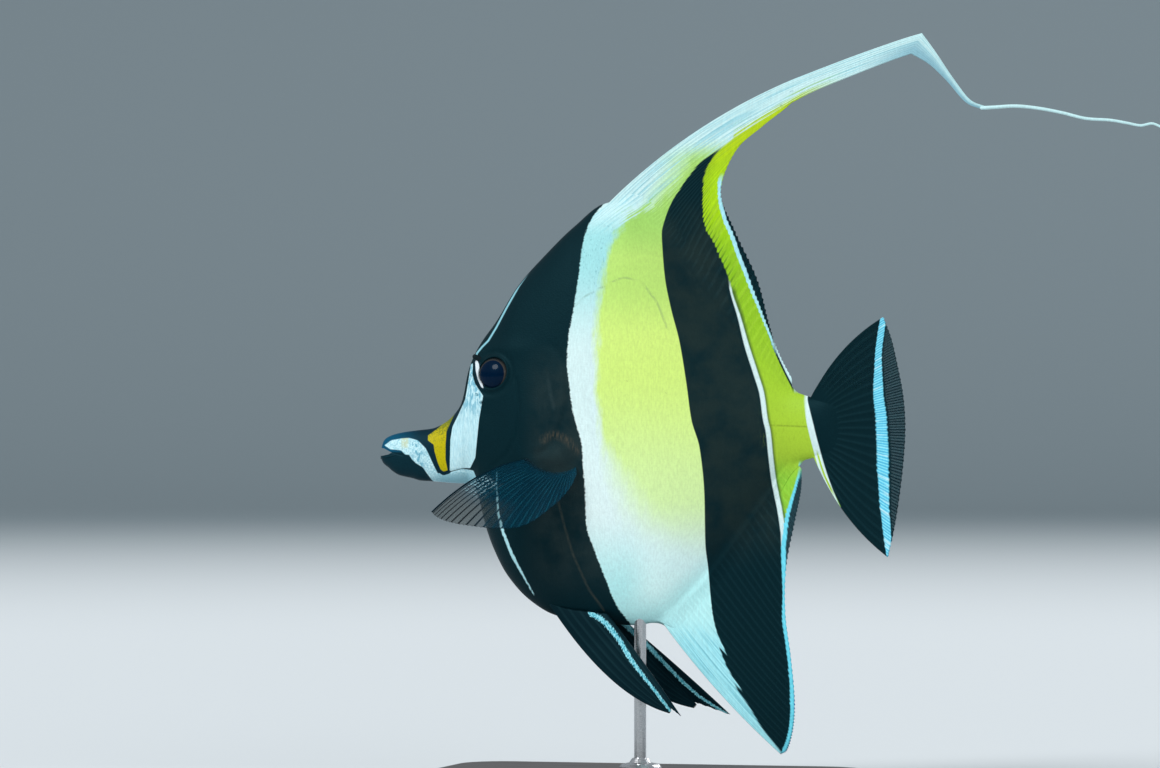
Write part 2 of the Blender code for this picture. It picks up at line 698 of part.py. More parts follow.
def make_pectoral_fin(name, side):
    # The fin on its fleshy root, which lies on the flank behind the gill cover
    fin = paired_fin(name, PECTORAL_RAYS, PECTORAL_COUNT, side, FIN_ROWS, False)
    place(rooted(fin), dusky_membrane(name + "_membrane"), 60)


def band_solid(name, upper, lower, count, steps):
    # A strip of the streamer between its two edges, with rays running along it
    cols = 2 * count + 1
    middle, half = [], []
    for i in range(cols):
        s = i / (cols - 1)
        line, halves = [], []
        for j in range(steps + 1):
            t = j / steps
            x, z = (1 - s) * along(upper, t) + s * along(lower, t)
            line.append((x, 0.0, z))
            halves.append(FIN_HALF + (RIDGE * RIDGE_FADE if i % 2 == 1 else 0.0))
        middle.append(line)
        half.append(halves)
    normal = [[(0, 1, 0)] * (steps + 1)] * cols
    return sheet_solid(name, middle, normal, half)


def make_streamer():
    # The long streamer: a band up to its kink, a narrowing band below it, then two lengths of thread
    band = band_solid("dorsal_streamer_1", BAND_TOP, BAND_LOW, BAND_COUNT, 8)
    place(band, white_skin("streamer_1_skin"), 60)
    place(band_solid("dorsal_streamer_2", KINK_TOP, KINK_LOW, 1, 10), white_skin("streamer_2_skin"), 60)
    last = len(THREAD_LINE) - 1
    lengths = (("dorsal_streamer_3", 0, THREAD_SPLIT), ("dorsal_streamer_4", THREAD_SPLIT, last))
    for name, first, end in lengths:
        steps = 3 * (end - first)
        path, radii = [], []
        for k in range(steps + 1):
            t = (first + (end - first) * k / steps) / last
            if first and k == 0:
                t += GAP / (THREAD_LINE[-1][0] - THREAD_LINE[0][0])
            path.append(along(THREAD_LINE, t))
            radii.append(THREAD_RADIUS + (THREAD_TIP_RADIUS - THREAD_RADIUS) * t)
        place(tube_solid(name, path, radii, 8), white_skin(name + "_skin"))


# Stand, in the frame of the stand

def make_stand_base():
    def outline(inset):
        corner = BASE_CORNER - inset
        loop = []
        for k, (sx, sy) in enumerate(((1, 1), (-1, 1), (-1, -1), (1, -1))):
            for m in range(CORNER_STEPS + 1):
                angle = math.pi / 2 * (k + m / CORNER_STEPS)
                x = sx * (BASE_LONG / 2 - BASE_CORNER) + corner * math.cos(angle)
                y = sy * (BASE_WIDE / 2 - BASE_CORNER) + corner * math.sin(angle)
                loop.append((x * MM, y * MM))
        return loop
    levels = (
        (BASE_EDGE, 0.0), (0.0, BASE_EDGE), (0.0, BASE_HIGH - BASE_BEVEL),
        (BASE_EDGE, BASE_HIGH - BASE_EDGE), (BASE_BEVEL, BASE_HIGH),
    )
    rings = [[(x, y, z * MM) for x, y in outline(inset)] for inset, z in levels]
    finish(rings_solid("stand_base", rings), stand_lacquer("base_lacquer"), 35)


def make_stand_rod():
    profile = [(r, BASE_HIGH + GAP + h) for r, h in COLLAR]
    rod_top = MOUTH_LEVEL + SOCKET_TOP
    profile += [(ROD_RADIUS, BASE_HIGH + COLLAR[-1][1] + ROD_BEVEL), (ROD_RADIUS, rod_top - ROD_BEVEL)]
    profile.append((ROD_RADIUS - ROD_BEVEL, rod_top))
    rings = []
    for radius, level in profile:
        turns = [2 * math.pi * k / ROD_SIDES for k in range(ROD_SIDES)]
        rings.append([(radius * MM * math.cos(a), radius * MM * math.sin(a), level * MM) for a in turns])
    finish(rings_solid("stand_rod", rings), stand_steel("rod_steel"), 35)


def main():
    clear_scene()
    make_body()
    for name, side in (("left", -1), ("right", 1)):
        make_gill_cover("gill_cover_" + name, side)
        make_eye("eye_" + name, side)
        make_horn("brow_horn_" + name, side)
        make_pectoral_fin("pectoral_fin_" + name, side)
    make_pelvic_fin("pelvic_fin_left", -1, PELVIC_THREAD_LEFT)
    make_pelvic_fin("pelvic_fin_right", 1, PELVIC_THREAD_RIGHT)
    make_dorsal_fin()
    make_streamer()
    make_anal_fin()
    make_caudal_fin()
    make_stand_base()
    make_stand_rod()


main()
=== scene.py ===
import math

import bpy
import numpy as np
from mathutils import Matrix, Vector


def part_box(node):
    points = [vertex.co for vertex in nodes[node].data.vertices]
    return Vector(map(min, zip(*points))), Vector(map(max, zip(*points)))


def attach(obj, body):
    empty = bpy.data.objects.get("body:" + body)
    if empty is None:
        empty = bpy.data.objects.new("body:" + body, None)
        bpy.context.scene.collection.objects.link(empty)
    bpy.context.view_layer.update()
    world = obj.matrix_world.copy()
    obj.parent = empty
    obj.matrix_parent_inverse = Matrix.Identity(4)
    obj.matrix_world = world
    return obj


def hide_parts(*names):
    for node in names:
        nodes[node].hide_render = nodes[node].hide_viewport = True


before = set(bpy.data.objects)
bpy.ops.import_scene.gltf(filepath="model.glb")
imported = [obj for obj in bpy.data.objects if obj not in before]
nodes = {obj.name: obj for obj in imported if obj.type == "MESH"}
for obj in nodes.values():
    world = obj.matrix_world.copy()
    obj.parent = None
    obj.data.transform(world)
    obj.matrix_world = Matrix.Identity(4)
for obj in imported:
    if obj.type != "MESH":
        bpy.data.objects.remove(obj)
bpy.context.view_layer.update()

# Moorish idol fish on its stand. The fish is drawn in millimetres in its own side view, as the
# solids are: x runs back from the snout tip, y to the fish's right, z up from the mouth.
mm = 0.001
sides = {"left": -1, "right": 1}
viewTurn = math.radians(15.0)                # the camera looks from this much behind broadside

eyeShape = {"at": (41.2, 6.3, 21.8), "size": (6.1, 3.7, 5.7), "turn": 14.0, "tilt": 9.0, "pupilLow": 0.5}
tailBend = {"start": 134.0, "end": 151.0, "angle": 22.0, "middle": 4.0, "full": 48.0, "none": 78.0}
eyeLow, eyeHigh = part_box("eye_left")
eyeMiddle = (eyeLow + eyeHigh) / (2 * mm)
# what turns the frame's places into those of the side view
viewShift = np.array([eyeShape["at"][0] - eyeMiddle.x, 0, eyeShape["at"][2] - eyeMiddle.z])


# Curves and places

def ease(low, high, value):
    t = np.clip((value - low) / (high - low), 0, 1)
    return t * t * (3 - 2 * t)


def smoothCurve(points):
    # a function through the points that never swings past them
    xs, ys = np.array(sorted(points), float).T
    step = np.diff(xs)
    slope = np.diff(ys) / step
    tangent = np.zeros(len(xs))
    for i in range(1, len(xs) - 1):
        if slope[i - 1] * slope[i] > 0:
            before, after = 2 * step[i] + step[i - 1], step[i] + 2 * step[i - 1]
            tangent[i] = (before + after) / (before / slope[i - 1] + after / slope[i])
    tangent[0], tangent[-1] = slope[0], slope[-1]

    def value(x):
        x = np.asarray(x, float)
        i = np.clip(np.searchsorted(xs, x) - 1, 0, len(xs) - 2)
        t = (x - xs[i]) / step[i]
        return (
            (1 + 2 * t) * (1 - t) ** 2 * ys[i] + t * (1 - t) ** 2 * step[i] * tangent[i]
            + t * t * (3 - 2 * t) * ys[i + 1] + t * t * (t - 1) * step[i] * tangent[i + 1]
        )

    return value


def alongLine(points, t):
    # points of the smooth line through evenly timed points
    pts = np.array(points, float)
    place = np.clip(t, 0, 1) * (len(pts) - 1)
    i = np.minimum(place.astype(int), len(pts) - 2)
    f = (place - i)[..., None]
    padded = np.vstack([2 * pts[0] - pts[1], pts, 2 * pts[-1] - pts[-2]])
    a, b, c, d = (padded[i + k] for k in range(4))
    square, cube = 2 * a - 5 * b + 4 * c - d, 3 * b - a - 3 * c + d
    return 0.5 * (2 * b + (c - a) * f + square * f ** 2 + cube * f ** 3)


def lineDistance(x, z, line):
    # distance to an open line, always positive
    found = np.full(x.shape, 1e9)
    for (ax, az), (bx, bz) in zip(line[:-1], line[1:]):
        dx, dz = bx - ax, bz - az
        t = np.clip(((x - ax) * dx + (z - az) * dz) / (dx * dx + dz * dz), 0, 1)
        found = np.minimum(found, np.hypot(x - ax - t * dx, z - az - t * dz))
    return found


def outlineDistance(x, z, outline):
    # distance to a closed outline, negative inside
    loop = list(outline) + [outline[0]]
    inside = np.zeros(x.shape, bool)
    for (ax, az), (bx, bz) in zip(loop[:-1], loop[1:]):
        if az != bz:
            inside ^= ((az > z) != (bz > z)) & (x < (bx - ax) * (z - az) / (bz - az) + ax)
    return lineDistance(x, z, loop) * np.where(inside, -1, 1)


def acrossEdge(x, z, line):
    # signed distance behind an edge that runs from top to bottom
    found = smoothCurve([(pz, px) for px, pz in line])
    low, high = line[-1][1], line[0][1]
    level = np.clip(z, low, high)
    reach = 0.2
    slope = found(np.clip(level + reach, low, high)) - found(np.clip(level - reach, low, high))
    return (x - found(level)) / np.sqrt(1 + (slope / (2 * reach)) ** 2)


def placed(points):
    # side view millimetres to the frame's metres, with the tail turned aside
    x, y, z = np.moveaxis(np.asarray(points, float), -1, 0)
    away = ease(tailBend["full"], tailBend["none"], abs(z - tailBend["middle"]))
    turn = np.maximum(math.radians(tailBend["angle"]) * (1 - away), 1e-6)
    run = tailBend["end"] - tailBend["start"]
    angle = turn * np.clip((x - tailBend["start"]) / run, 0, 1)
    beyond = np.maximum(x - tailBend["end"], 0)
    bentX = tailBend["start"] + run / turn * np.sin(angle) + beyond * np.cos(turn) + y * np.sin(angle)
    bentY = -run / turn * (1 - np.cos(angle)) - beyond * np.sin(turn) + y * np.cos(angle)
    behind = x > tailBend["start"]
    return (np.stack([np.where(behind, bentX, x), np.where(behind, bentY, y), z], -1) - viewShift) * mm


# Mesh helpers

def pick(*pieces):
    # selects only these pieces in object mode, with the first one active
    if bpy.context.object and bpy.context.object.mode != "OBJECT":
        bpy.ops.object.mode_set(mode="OBJECT")
    bpy.ops.object.select_all(action="DESELECT")
    for piece in pieces:
        piece.select_set(True)
    if pieces:
        bpy.context.view_layer.objects.active = pieces[0]


def editPiece(piece, *steps):
    # runs edit mode steps on the whole mesh
    pick(piece)
    bpy.ops.object.mode_set(mode="EDIT")
    bpy.ops.mesh.select_all(action="SELECT")
    for step in steps:
        step()
    bpy.ops.object.mode_set(mode="OBJECT")


def closeMesh():
    bpy.ops.mesh.remove_doubles(threshold=1e-6)
    bpy.ops.mesh.normals_make_consistent(inside=False)


def setPoints(piece, metres):
    piece.data.vertices.foreach_set("co", np.ascontiguousarray(metres, np.float32).ravel())
    piece.data.update()


def getPoints(piece):
    found = np.zeros(len(piece.data.vertices) * 3, np.float32)
    piece.data.vertices.foreach_get("co", found)
    return found.reshape(-1, 3).astype(float)


def sideView(piece):
    # a piece's points in the side view's millimetres
    return getPoints(piece) / mm + viewShift


def getValue(piece, name):
    found = np.zeros(len(piece.data.vertices), np.float32)
    if name in piece.data.attributes:
        piece.data.attributes[name].data.foreach_get("value", found)
    return found


def setValue(piece, name, values):
    attribute = piece.data.attributes.get(name) or piece.data.attributes.new(name, "FLOAT", "POINT")
    attribute.data.foreach_set("value", np.ascontiguousarray(values, np.float32).ravel())


def newGrid(name, columns, rows):
    pick()
    bpy.ops.mesh.primitive_grid_add(x_subdivisions=rows - 1, y_subdivisions=columns - 1, size=1)
    piece = bpy.context.object
    piece.name = piece.data.name = name
    return piece


def gridPiece(name, points, values=None):
    # a grid primitive laid over points, (columns, rows, 3) in millimetres, with its edges merged
    piece = newGrid(name, *points.shape[:2])
    setPoints(piece, placed(points))
    for key, value in (values or {}).items():
        setValue(piece, key, value)
    editPiece(piece, closeMesh)
    piece.data.shade_smooth()
    return piece


def sheetPiece(name, middle, normal, half, values):
    # a closed thin solid about a middle sheet; half goes to nothing at its rims
    thick = half[..., None] * normal
    points = np.concatenate([middle + thick, (middle - thick)[::-1]])
    both = {key: np.concatenate([value, value[::-1]]) for key, value in values.items()}
    return gridPiece(name, points, both)


def tubePoints(path, radii, around):
    # rings square to a path, closed to a point at both ends
    path = np.asarray(path, float)
    ahead = np.gradient(path, axis=0)
    ahead /= np.linalg.norm(ahead, axis=1, keepdims=True)
    across = np.cross(ahead, (0.05, 0.1, 1.0))         # any direction that no path follows
    across /= np.linalg.norm(across, axis=1, keepdims=True)
    over = np.cross(ahead, across)
    turns = np.linspace(0, 2 * math.pi, around + 1)
    ring = np.cos(turns)[:, None, None] * across + np.sin(turns)[:, None, None] * over
    return path + ring * np.asarray(radii, float)[:, None]


def cutPiece(piece, tool, operation):
    # a Boolean with a tool that is then removed
    pick(piece)
    cut = piece.modifiers.new("cut", "BOOLEAN")
    cut.operation, cut.solver, cut.object = operation, "EXACT", tool
    bpy.ops.object.modifier_apply(modifier=cut.name)
    bpy.data.objects.remove(tool, do_unlink=True)


def refineNear(piece, middle, reach):
    # splits the faces round a small feature of the side view
    pick(piece)
    bpy.ops.object.mode_set(mode="EDIT")
    bpy.ops.mesh.select_mode(type="FACE")
    bpy.ops.mesh.select_all(action="DESELECT")
    bpy.ops.object.mode_set(mode="OBJECT")
    centres = np.zeros(len(piece.data.polygons) * 3, np.float32)
    piece.data.polygons.foreach_get("center", centres)
    x, y, z = (centres.reshape(-1, 3).astype(float) / mm + viewShift).T
    piece.data.polygons.foreach_set("select", np.hypot(x - middle[0], z - middle[-1]) < reach)
    bpy.ops.object.mode_set(mode="EDIT")
    bpy.ops.mesh.subdivide(number_cuts=1)
    bpy.ops.object.mode_set(mode="OBJECT")


# Body skin

# Outline and breadth of the body, how far the scaly sheath climbs the two long fins, how square the
# rings are, and how many there are
bodyShape = {
    "top": [
        (0.0, -3.6), (0.5, -1.2), (1.6, 0.4), (7.2, 2.3), (12.3, 3.0), (17.4, 3.6), (22.5, 5.9),
        (26.0, 9.2), (28.0, 12.4), (29.4, 17.2), (30.7, 24.0), (33.1, 29.7), (40.0, 39.6), (47.1, 50.8),
        (56.4, 61.0), (66.6, 70.6), (76.5, 77.6), (83.7, 78.2), (90.5, 74.2), (98.4, 66.7),
        (110.0, 52.1), (121.3, 38.0), (132.5, 24.4), (140.1, 16.6), (145.2, 14.6), (151.0, 13.4),
        (160.0, 12.4),
    ],
    "low": [
        (0.0, -6.6), (0.6, -7.9), (2.4, -9.4), (4.4, -11.0), (6.1, -11.9), (10.6, -12.9), (13.7, -13.7),
        (17.4, -13.9), (25.6, -14.5), (30.7, -14.8), (32.8, -16.8), (34.5, -21.5), (36.2, -28.7),
        (38.9, -36.3), (43.7, -45.2), (51.2, -53.1), (59.4, -57.8), (71.7, -60.4), (86.4, -61.0),
        (96.0, -59.2), (109.3, -48.2), (121.3, -33.3), (132.5, -17.8), (140.1, -7.9), (145.2, -6.3),
        (151.0, -5.2), (160.0, -4.2),
    ],
    "breadth": [
        (0.0, 1.3), (0.6, 2.0), (2.4, 2.8), (6.0, 3.4), (12.3, 4.0), (17.4, 4.3), (24.0, 5.4),
        (30.7, 7.4), (38.6, 9.6), (48.0, 11.8), (61.5, 13.6), (75.0, 14.2), (92.0, 13.0), (109.0, 10.2),
        (126.0, 6.6), (140.1, 4.1), (147.5, 3.0), (150.5, 2.0), (153.0, 1.2), (155.5, 0.62),
        (158.0, 0.3), (160.0, 0.14),
    ],
    "dorsalSheath": [
        (74.0, 0.0), (78.0, 0.4), (82.0, 1.4), (87.0, 4.6), (92.0, 7.0), (128.0, 7.0), (134.0, 4.6),
        (138.0, 2.2), (141.0, 0.6), (142.0, 0.0),
    ],
    "analSheath": [
        (92.5, 0.0), (95.0, 0.8), (98.0, 3.0), (102.0, 7.0), (130.0, 7.0), (137.0, 5.0), (141.0, 2.6),
        (143.6, 0.8), (144.4, 0.0),
    ],
    "snoutSquareness": 0.5, "flankSquareness": 0.6, "finSquareness": 1.2, "rings": 300,
    "headFineness": 1.7, "headEnd": 60.0, "ringSide": 118, "fineSamples": 500, "sheathHalf": 0.7,
    "sheathFall": 3.0, "sheathBlend": 1.0, "sheathEnd": 0.12, "noseClose": 0.4,
}
topOf, lowOf, breadthOf = (smoothCurve(bodyShape[key]) for key in ("top", "low", "breadth"))


def sheathOf(key, x):
    reach = bodyShape[key]
    inside = (x > reach[0][0]) & (x < reach[-1][0])
    return np.where(inside, np.maximum(smoothCurve(reach)(x), 0), 0)


def flankAt(x, z):
    # half of the body's breadth at a point of its side view, thinner towards the fins
    top, low = topOf(x), lowOf(x)
    level = np.clip((2 * z - top - low) / (top - low), -1, 1)
    snout, flank = bodyShape["snoutSquareness"], bodyShape["flankSquareness"]
    square = snout + (flank - snout) * ease(20, 45, x)
    nearFin = np.where(level > 0, ease(76, 116, x), ease(80, 122, x)) * (1 - ease(128, 146, x))
    return breadthOf(x) * (1 - level * level) ** (square + (bodyShape["finSquareness"] - square) * nearFin)


def bodyStations():
    # rings closer together on the head and where the outline climbs
    fine = np.linspace(0, bodyShape["top"][-1][0], 3000)
    climb = 0.5 * (abs(np.diff(topOf(fine))) + abs(np.diff(lowOf(fine))))
    weight = np.where(fine[1:] < bodyShape["headEnd"], bodyShape["headFineness"], 1.0)
    cost = np.concatenate([[0], np.cumsum(np.hypot(np.diff(fine), climb) * weight)])
    return np.interp(np.linspace(0, cost[-1], bodyShape["rings"]), cost, fine)


def bodyRing(x):
    # half of one ring, (y, z) from the belly to the back, with the sheaths of the fins
    top, low = topOf(x), lowOf(x)
    high, deep = sheathOf("dorsalSheath", x), sheathOf("analSheath", x)
    wave = -np.cos(np.linspace(0, math.pi, bodyShape["fineSamples"]))
    z = (top + high + low - deep) / 2 + (top + high - low + deep) / 2 * wave
    y = flankAt(x, z)
    end, half, fall = bodyShape["sheathEnd"], bodyShape["sheathHalf"], bodyShape["sheathFall"]
    for beyond, reach in ((z - top, high), (low - z, deep)):
        if reach > 0:
            strength = ease(0, 4, reach) * ease(-16, -9, beyond)
            blade = strength * (end + (half - end) * np.exp(-np.maximum(beyond, 0) / fall))
            blend = strength * bodyShape["sheathBlend"] * np.exp(-abs(beyond) / fall)
            y = (y + blade + np.sqrt((y - blade) ** 2 + blend ** 2)) / 2
    y[0] = y[-1] = 0
    length = np.concatenate([[0], np.cumsum(np.hypot(np.diff(y), np.diff(z)))])
    steps = np.linspace(0, length[-1], bodyShape["ringSide"])
    return np.interp(steps, length, y), np.interp(steps, length, z)


def bodyPoints():
    rings = []
    for x in bodyStations():
        y, z = bodyRing(x)
        right = np.stack([np.full(len(y), x), y, z], -1)
        rings.append(np.concatenate([right, (right[::-1] * (1, -1, 1))[1:]]))
    nose, tail = rings[0] * (1, 0, 1), rings[-1] * (1, 0, 1)
    nose[:, 0] -= bodyShape["noseClose"]             # closes the nose to an edge
    return np.array([nose] + rings + [tail])


mouthShape = {
    "wedge": [
        (-3.0, -2.4), (1.5, -3.0), (3.0, -3.7), (4.4, -4.35), (3.2, -5.0), (1.2, -5.4), (-3.0, -5.8),
    ],
    "upperLip": [(1.0, 0.0, -1.9), (1.5, -1.5, -2.2), (3.2, -2.6, -2.9), (6.4, -3.25, -3.5)],
    "lowerLip": [(0.6, 0.0, -6.2), (1.1, -1.5, -6.1), (2.9, -2.6, -5.8), (6.4, -3.3, -5.1)],
    "radius": 0.8, "cornerRadius": 0.3, "around": 20, "steps": 30, "wedgeReach": 9.0,
}
# Soft swellings as x, z, long and high reach and height, fine grooves as a line with its depth and
# width, nostrils as x, z and radius, the gill cover's rear rim, and the rim and bowl of the eye
headForms = {
    "swells": [
        (62.0, -7.2, 8.0, 3.6, 1.1), (53.0, 4.0, 9.0, 10.0, 0.35), (46.5, 30.0, 7.0, 3.0, 0.45),
        (36.0, 18.0, 2.4, 6.0, 0.25), (24.0, -3.0, 4.0, 6.0, -0.35), (39.0, 9.0, 4.0, 4.0, -0.3),
    ],
    "grooves": [
        ([(23.6, -10.8), (28.0, -10.0), (31.8, -10.4), (33.2, -13.0)], 0.22, 0.35),
        ([(4.4, -4.35), (8.4, -5.3), (11.4, -8.0), (13.4, -10.4), (17.2, -13.6)], 0.2, 0.3),
        ([(9.2, 0.4), (9.6, -2.6), (10.4, -5.6)], 0.16, 0.3),
        ([(7.9, 0.5), (8.2, -2.4), (8.9, -4.9)], 0.14, 0.25),
        ([(49.6, 20.0), (50.8, 10.0), (50.2, 2.0), (46.4, -5.0), (40.6, -9.0)], 0.28, 0.6),
        ([(57.6, 0.0), (54.6, -10.0), (49.6, -22.0), (45.4, -34.0)], 0.14, 0.6),
    ],
    "nostrils": [(35.2, 14.6, 0.75), (37.0, 12.2, 0.6)], "gillAt": (57.7, 13.4),
    "gillSize": (9.2, 17.0), "gillLean": -8.0, "gillRaise": 0.2, "rimRadius": 5.95, "rimWidth": 0.55,
    "rimHeight": 0.5, "bowl": 3.2, "gillGroove": 0.22,
}


def bump(distance, width):
    return np.exp(-(distance / width) ** 2)


def eyeTurn(side):
    turn = Matrix.Rotation(side * math.radians(eyeShape["turn"]), 3, "Z")
    return np.array(turn @ Matrix.Rotation(side * math.radians(eyeShape["tilt"]), 3, "X"))


def gillRelief(x, z):
    lean = math.radians(headForms["gillLean"])
    long, high = headForms["gillSize"]
    gx, gz = x - headForms["gillAt"][0], z - headForms["gillAt"][1]
    ux = (gx * math.cos(lean) + gz * math.sin(lean)) / long
    uz = (gz * math.cos(lean) - gx * math.sin(lean)) / high
    inward = (1 - np.hypot(ux, uz)) * long
    raised = headForms["gillRaise"] * ease(0.9, 0.5, uz) * ease(-0.4, 0.4, inward)
    return ease(-0.5, 0.5, ux) * (raised - headForms["gillGroove"] * bump(inward + 0.6, 0.5))


def eyeRelief(points, side):
    # a raised rim round the eye, a faint ditch outside it and a bowl that the ball sits in
    local = (points - np.array(eyeShape["at"]) * (1, side, 1)) @ eyeTurn(side)
    away = np.hypot(local[:, 0], local[:, 2] * eyeShape["size"][0] / eyeShape["size"][2])
    rise = headForms["rimHeight"] * bump(away - headForms["rimRadius"], headForms["rimWidth"])
    rise -= 0.25 * bump(away - 7.6, 1.0) + headForms["bowl"] * (1 - ease(4.2, 5.7, away))
    return np.where(np.where(points[:, 1] < 0, -1, 1) == side, rise, 0)


def headRelief(points):
    # how far each point of the skin moves outwards, in millimetres
    x, y, z = points.T
    rise = gillRelief(x, z) + sum(eyeRelief(points, side) for side in sides.values())
    for sx, sz, long, high, height in headForms["swells"]:
        rise += height * np.exp(-((x - sx) / long) ** 2 - ((z - sz) / high) ** 2)
    for line, depth, width in headForms["grooves"]:
        rise -= depth * bump(lineDistance(x, z, line), width)
    for nx, nz, radius in headForms["nostrils"]:
        away = np.hypot(x - nx, z - nz)
        rise += 0.2 * bump(away - 1.25 * radius, 0.35) - 1.1 * bump(away, radius * 0.8)
    return rise * ease(0.5, 2.5, abs(y))             # nothing moves along the back and the belly


def mouthWedge():
    # a wedge across the snout, closed to its middle at both sides
    outline = np.array(mouthShape["wedge"])
    loop = np.vstack([outline, outline[:1]])
    rings = []
    for y, size in ((-1, 0), (-1, 1), (1, 1), (1, 0)):
        flat = outline.mean(0) + (loop - outline.mean(0)) * size
        rings.append(np.insert(flat, 1, y * mouthShape["wedgeReach"], axis=1))
    return np.array(rings)


def lipPoints(line):
    # a lip from one corner of the mouth round to the other, thinner towards the corners
    halfPath = alongLine(line, np.linspace(0, 1, mouthShape["steps"]))
    path = np.concatenate([(halfPath * (1, -1, 1))[:0:-1], halfPath])
    toCorner = abs(path[:, 1]) / abs(line[-1][1])
    radii = mouthShape["radius"] + (mouthShape["cornerRadius"] - mouthShape["radius"]) * toCorner
    radii[0] = radii[-1] = 0
    return tubePoints(path, radii, mouthShape["around"])


def makeSkin():
    skin = gridPiece("idolSkin", bodyPoints())
    cutPiece(skin, gridPiece("mouthCut", mouthWedge()), "DIFFERENCE")
    for line in (mouthShape["upperLip"], mouthShape["lowerLip"]):
        cutPiece(skin, gridPiece("lip", lipPoints(line)), "UNION")
    editPiece(skin, closeMesh)
    refineNear(skin, eyeShape["at"], 9.0)
    for nx, nz, radius in headForms["nostrils"]:
        refineNear(skin, (nx, nz), radius * 3)
    points = sideView(skin)
    rise = np.where(points[:, 0] < tailBend["start"], headRelief(points), 0)
    points[:, 1] += rise * np.sign(points[:, 1])
    setPoints(skin, (points - viewShift) * mm)
    editPiece(skin, closeMesh)
    skin.data.shade_smooth()
    return skin


# Fins

# Key rays of each fin as root, tip and bow, from the leading ray to the last
rayShape = {
    "dorsal": [
        ((75.5, 75.6), (140.1, 117.9), 3.9), ((83.0, 76.4), (140.1, 114.2), 3.0),
        ((89.5, 73.6), (140.1, 110.4), 2.4), ((93.9, 70.4), (130.8, 103.2), 1.8),
        ((98.0, 65.8), (121.6, 95.2), 1.2), ((103.2, 59.6), (116.4, 81.8), 0.6),
        ((110.0, 50.6), (121.2, 68.8), 0.3), ((118.9, 39.6), (128.6, 53.2), 0.2),
        ((127.1, 30.2), (132.6, 38.6), 0.1), ((133.9, 22.2), (136.0, 28.4), 0.0),
        ((140.1, 15.6), (141.6, 17.9), 0.0),
    ],
    "anal": [
        ((95.0, -58.2), (136.6, -103.0), -1.7), ((99.2, -56.8), (138.9, -101.2), -1.3),
        ((104.0, -52.4), (140.8, -94.0), -1.0), ((109.4, -47.0), (141.2, -84.6), -0.6),
        ((115.4, -39.4), (139.9, -71.0), -0.4), ((121.2, -32.2), (138.1, -57.0), -0.2),
        ((127.0, -24.4), (138.4, -41.6), 0.0), ((132.4, -16.8), (141.4, -27.0), 0.0),
        ((137.6, -9.8), (143.6, -16.8), 0.0), ((141.2, -6.6), (143.8, -9.6), 0.0),
    ],
    "caudal": [
        ((147.0, 14.0), (175.6, 40.2), 2.9), ((148.2, 10.8), (178.8, 33.0), 2.0),
        ((148.4, 8.6), (181.2, 24.4), 1.0), ((148.4, 6.2), (183.4, 14.6), 0.4),
        ((148.4, 3.8), (184.2, 4.6), 0.0), ((148.4, 1.6), (183.5, -6.4), -0.4),
        ((148.4, -0.6), (181.9, -18.0), -1.0), ((148.2, -2.8), (179.8, -28.8), -2.0),
        ((148.0, -5.0), (177.4, -37.8), -3.3),
    ],
    "pelvic": [
        ((57.6, 2.0, -53.2), (103.2, 16.6, -89.0), -6.6),
        ((64.6, 3.0, -55.4), (103.6, 17.0, -88.6), -3.8),
        ((71.0, 3.8, -56.4), (103.9, 17.4, -88.1), -1.5),
        ((76.0, 4.4, -57.0), (104.1, 17.8, -87.6), -0.3),
    ],
    "pelvicThread": {"left": (107.6, 18.2, -90.2), "right": (115.3, 18.6, -91.4)},
    "pectoral": [
        ((55.0, 11.6, -6.0), (28.3, 38.6, -23.3), 3.7), ((56.6, 11.7, -7.2), (29.9, 37.4, -25.1), 3.3),
        ((58.6, 11.8, -8.4), (34.1, 35.6, -26.9), 2.8), ((60.8, 11.9, -9.3), (41.3, 33.0, -28.2), 2.2),
        ((63.2, 12.0, -9.7), (49.7, 30.0, -29.0), 1.5), ((65.6, 12.0, -9.5), (57.4, 27.0, -27.6), 0.9),
        ((67.6, 12.0, -8.8), (65.6, 23.4, -21.4), 0.4), ((69.0, 12.0, -7.9), (69.9, 20.0, -16.2), 0.1),
        ((69.9, 12.0, -7.0), (71.7, 16.6, -11.2), 0.0),
    ],
    "lastPelvicRoot": (79.0, 4.6, -57.2),
}
finShape = {
    "dorsal": {
        "rays": 42, "perRay": 7, "rows": 60, "membrane": 0.24, "ridge": 0.11, "root": 0.24, "bare": 4.0,
    },
    "anal": {
        "rays": 36, "perRay": 7, "rows": 60, "membrane": 0.24, "ridge": 0.11, "root": 0.24, "bare": 4.0,
    },
    "caudal": {
        "rays": 22, "perRay": 9, "rows": 64, "membrane": 0.22, "ridge": 0.16, "root": 0.7, "bare": 6.0,
    },
    "pelvic": {
        "rays": 7, "perRay": 10, "rows": 60, "membrane": 0.26, "ridge": 0.1, "root": 1.3, "bare": 4.0,
    },
    "pectoral": {
        "rays": 24, "perRay": 8, "rows": 56, "membrane": 0.1, "ridge": 0.1, "root": 0.5, "bare": 2.5,
    },
    "ragged": {"dorsal": 0.7, "anal": 0.6, "caudal": 0.3, "pelvic": 0.6, "pectoral": 0.35},
    "rimWidth": 0.55, "forkStart": 0.42, "forkEnd": 0.8, "rowCrowding": 0.0585,
}
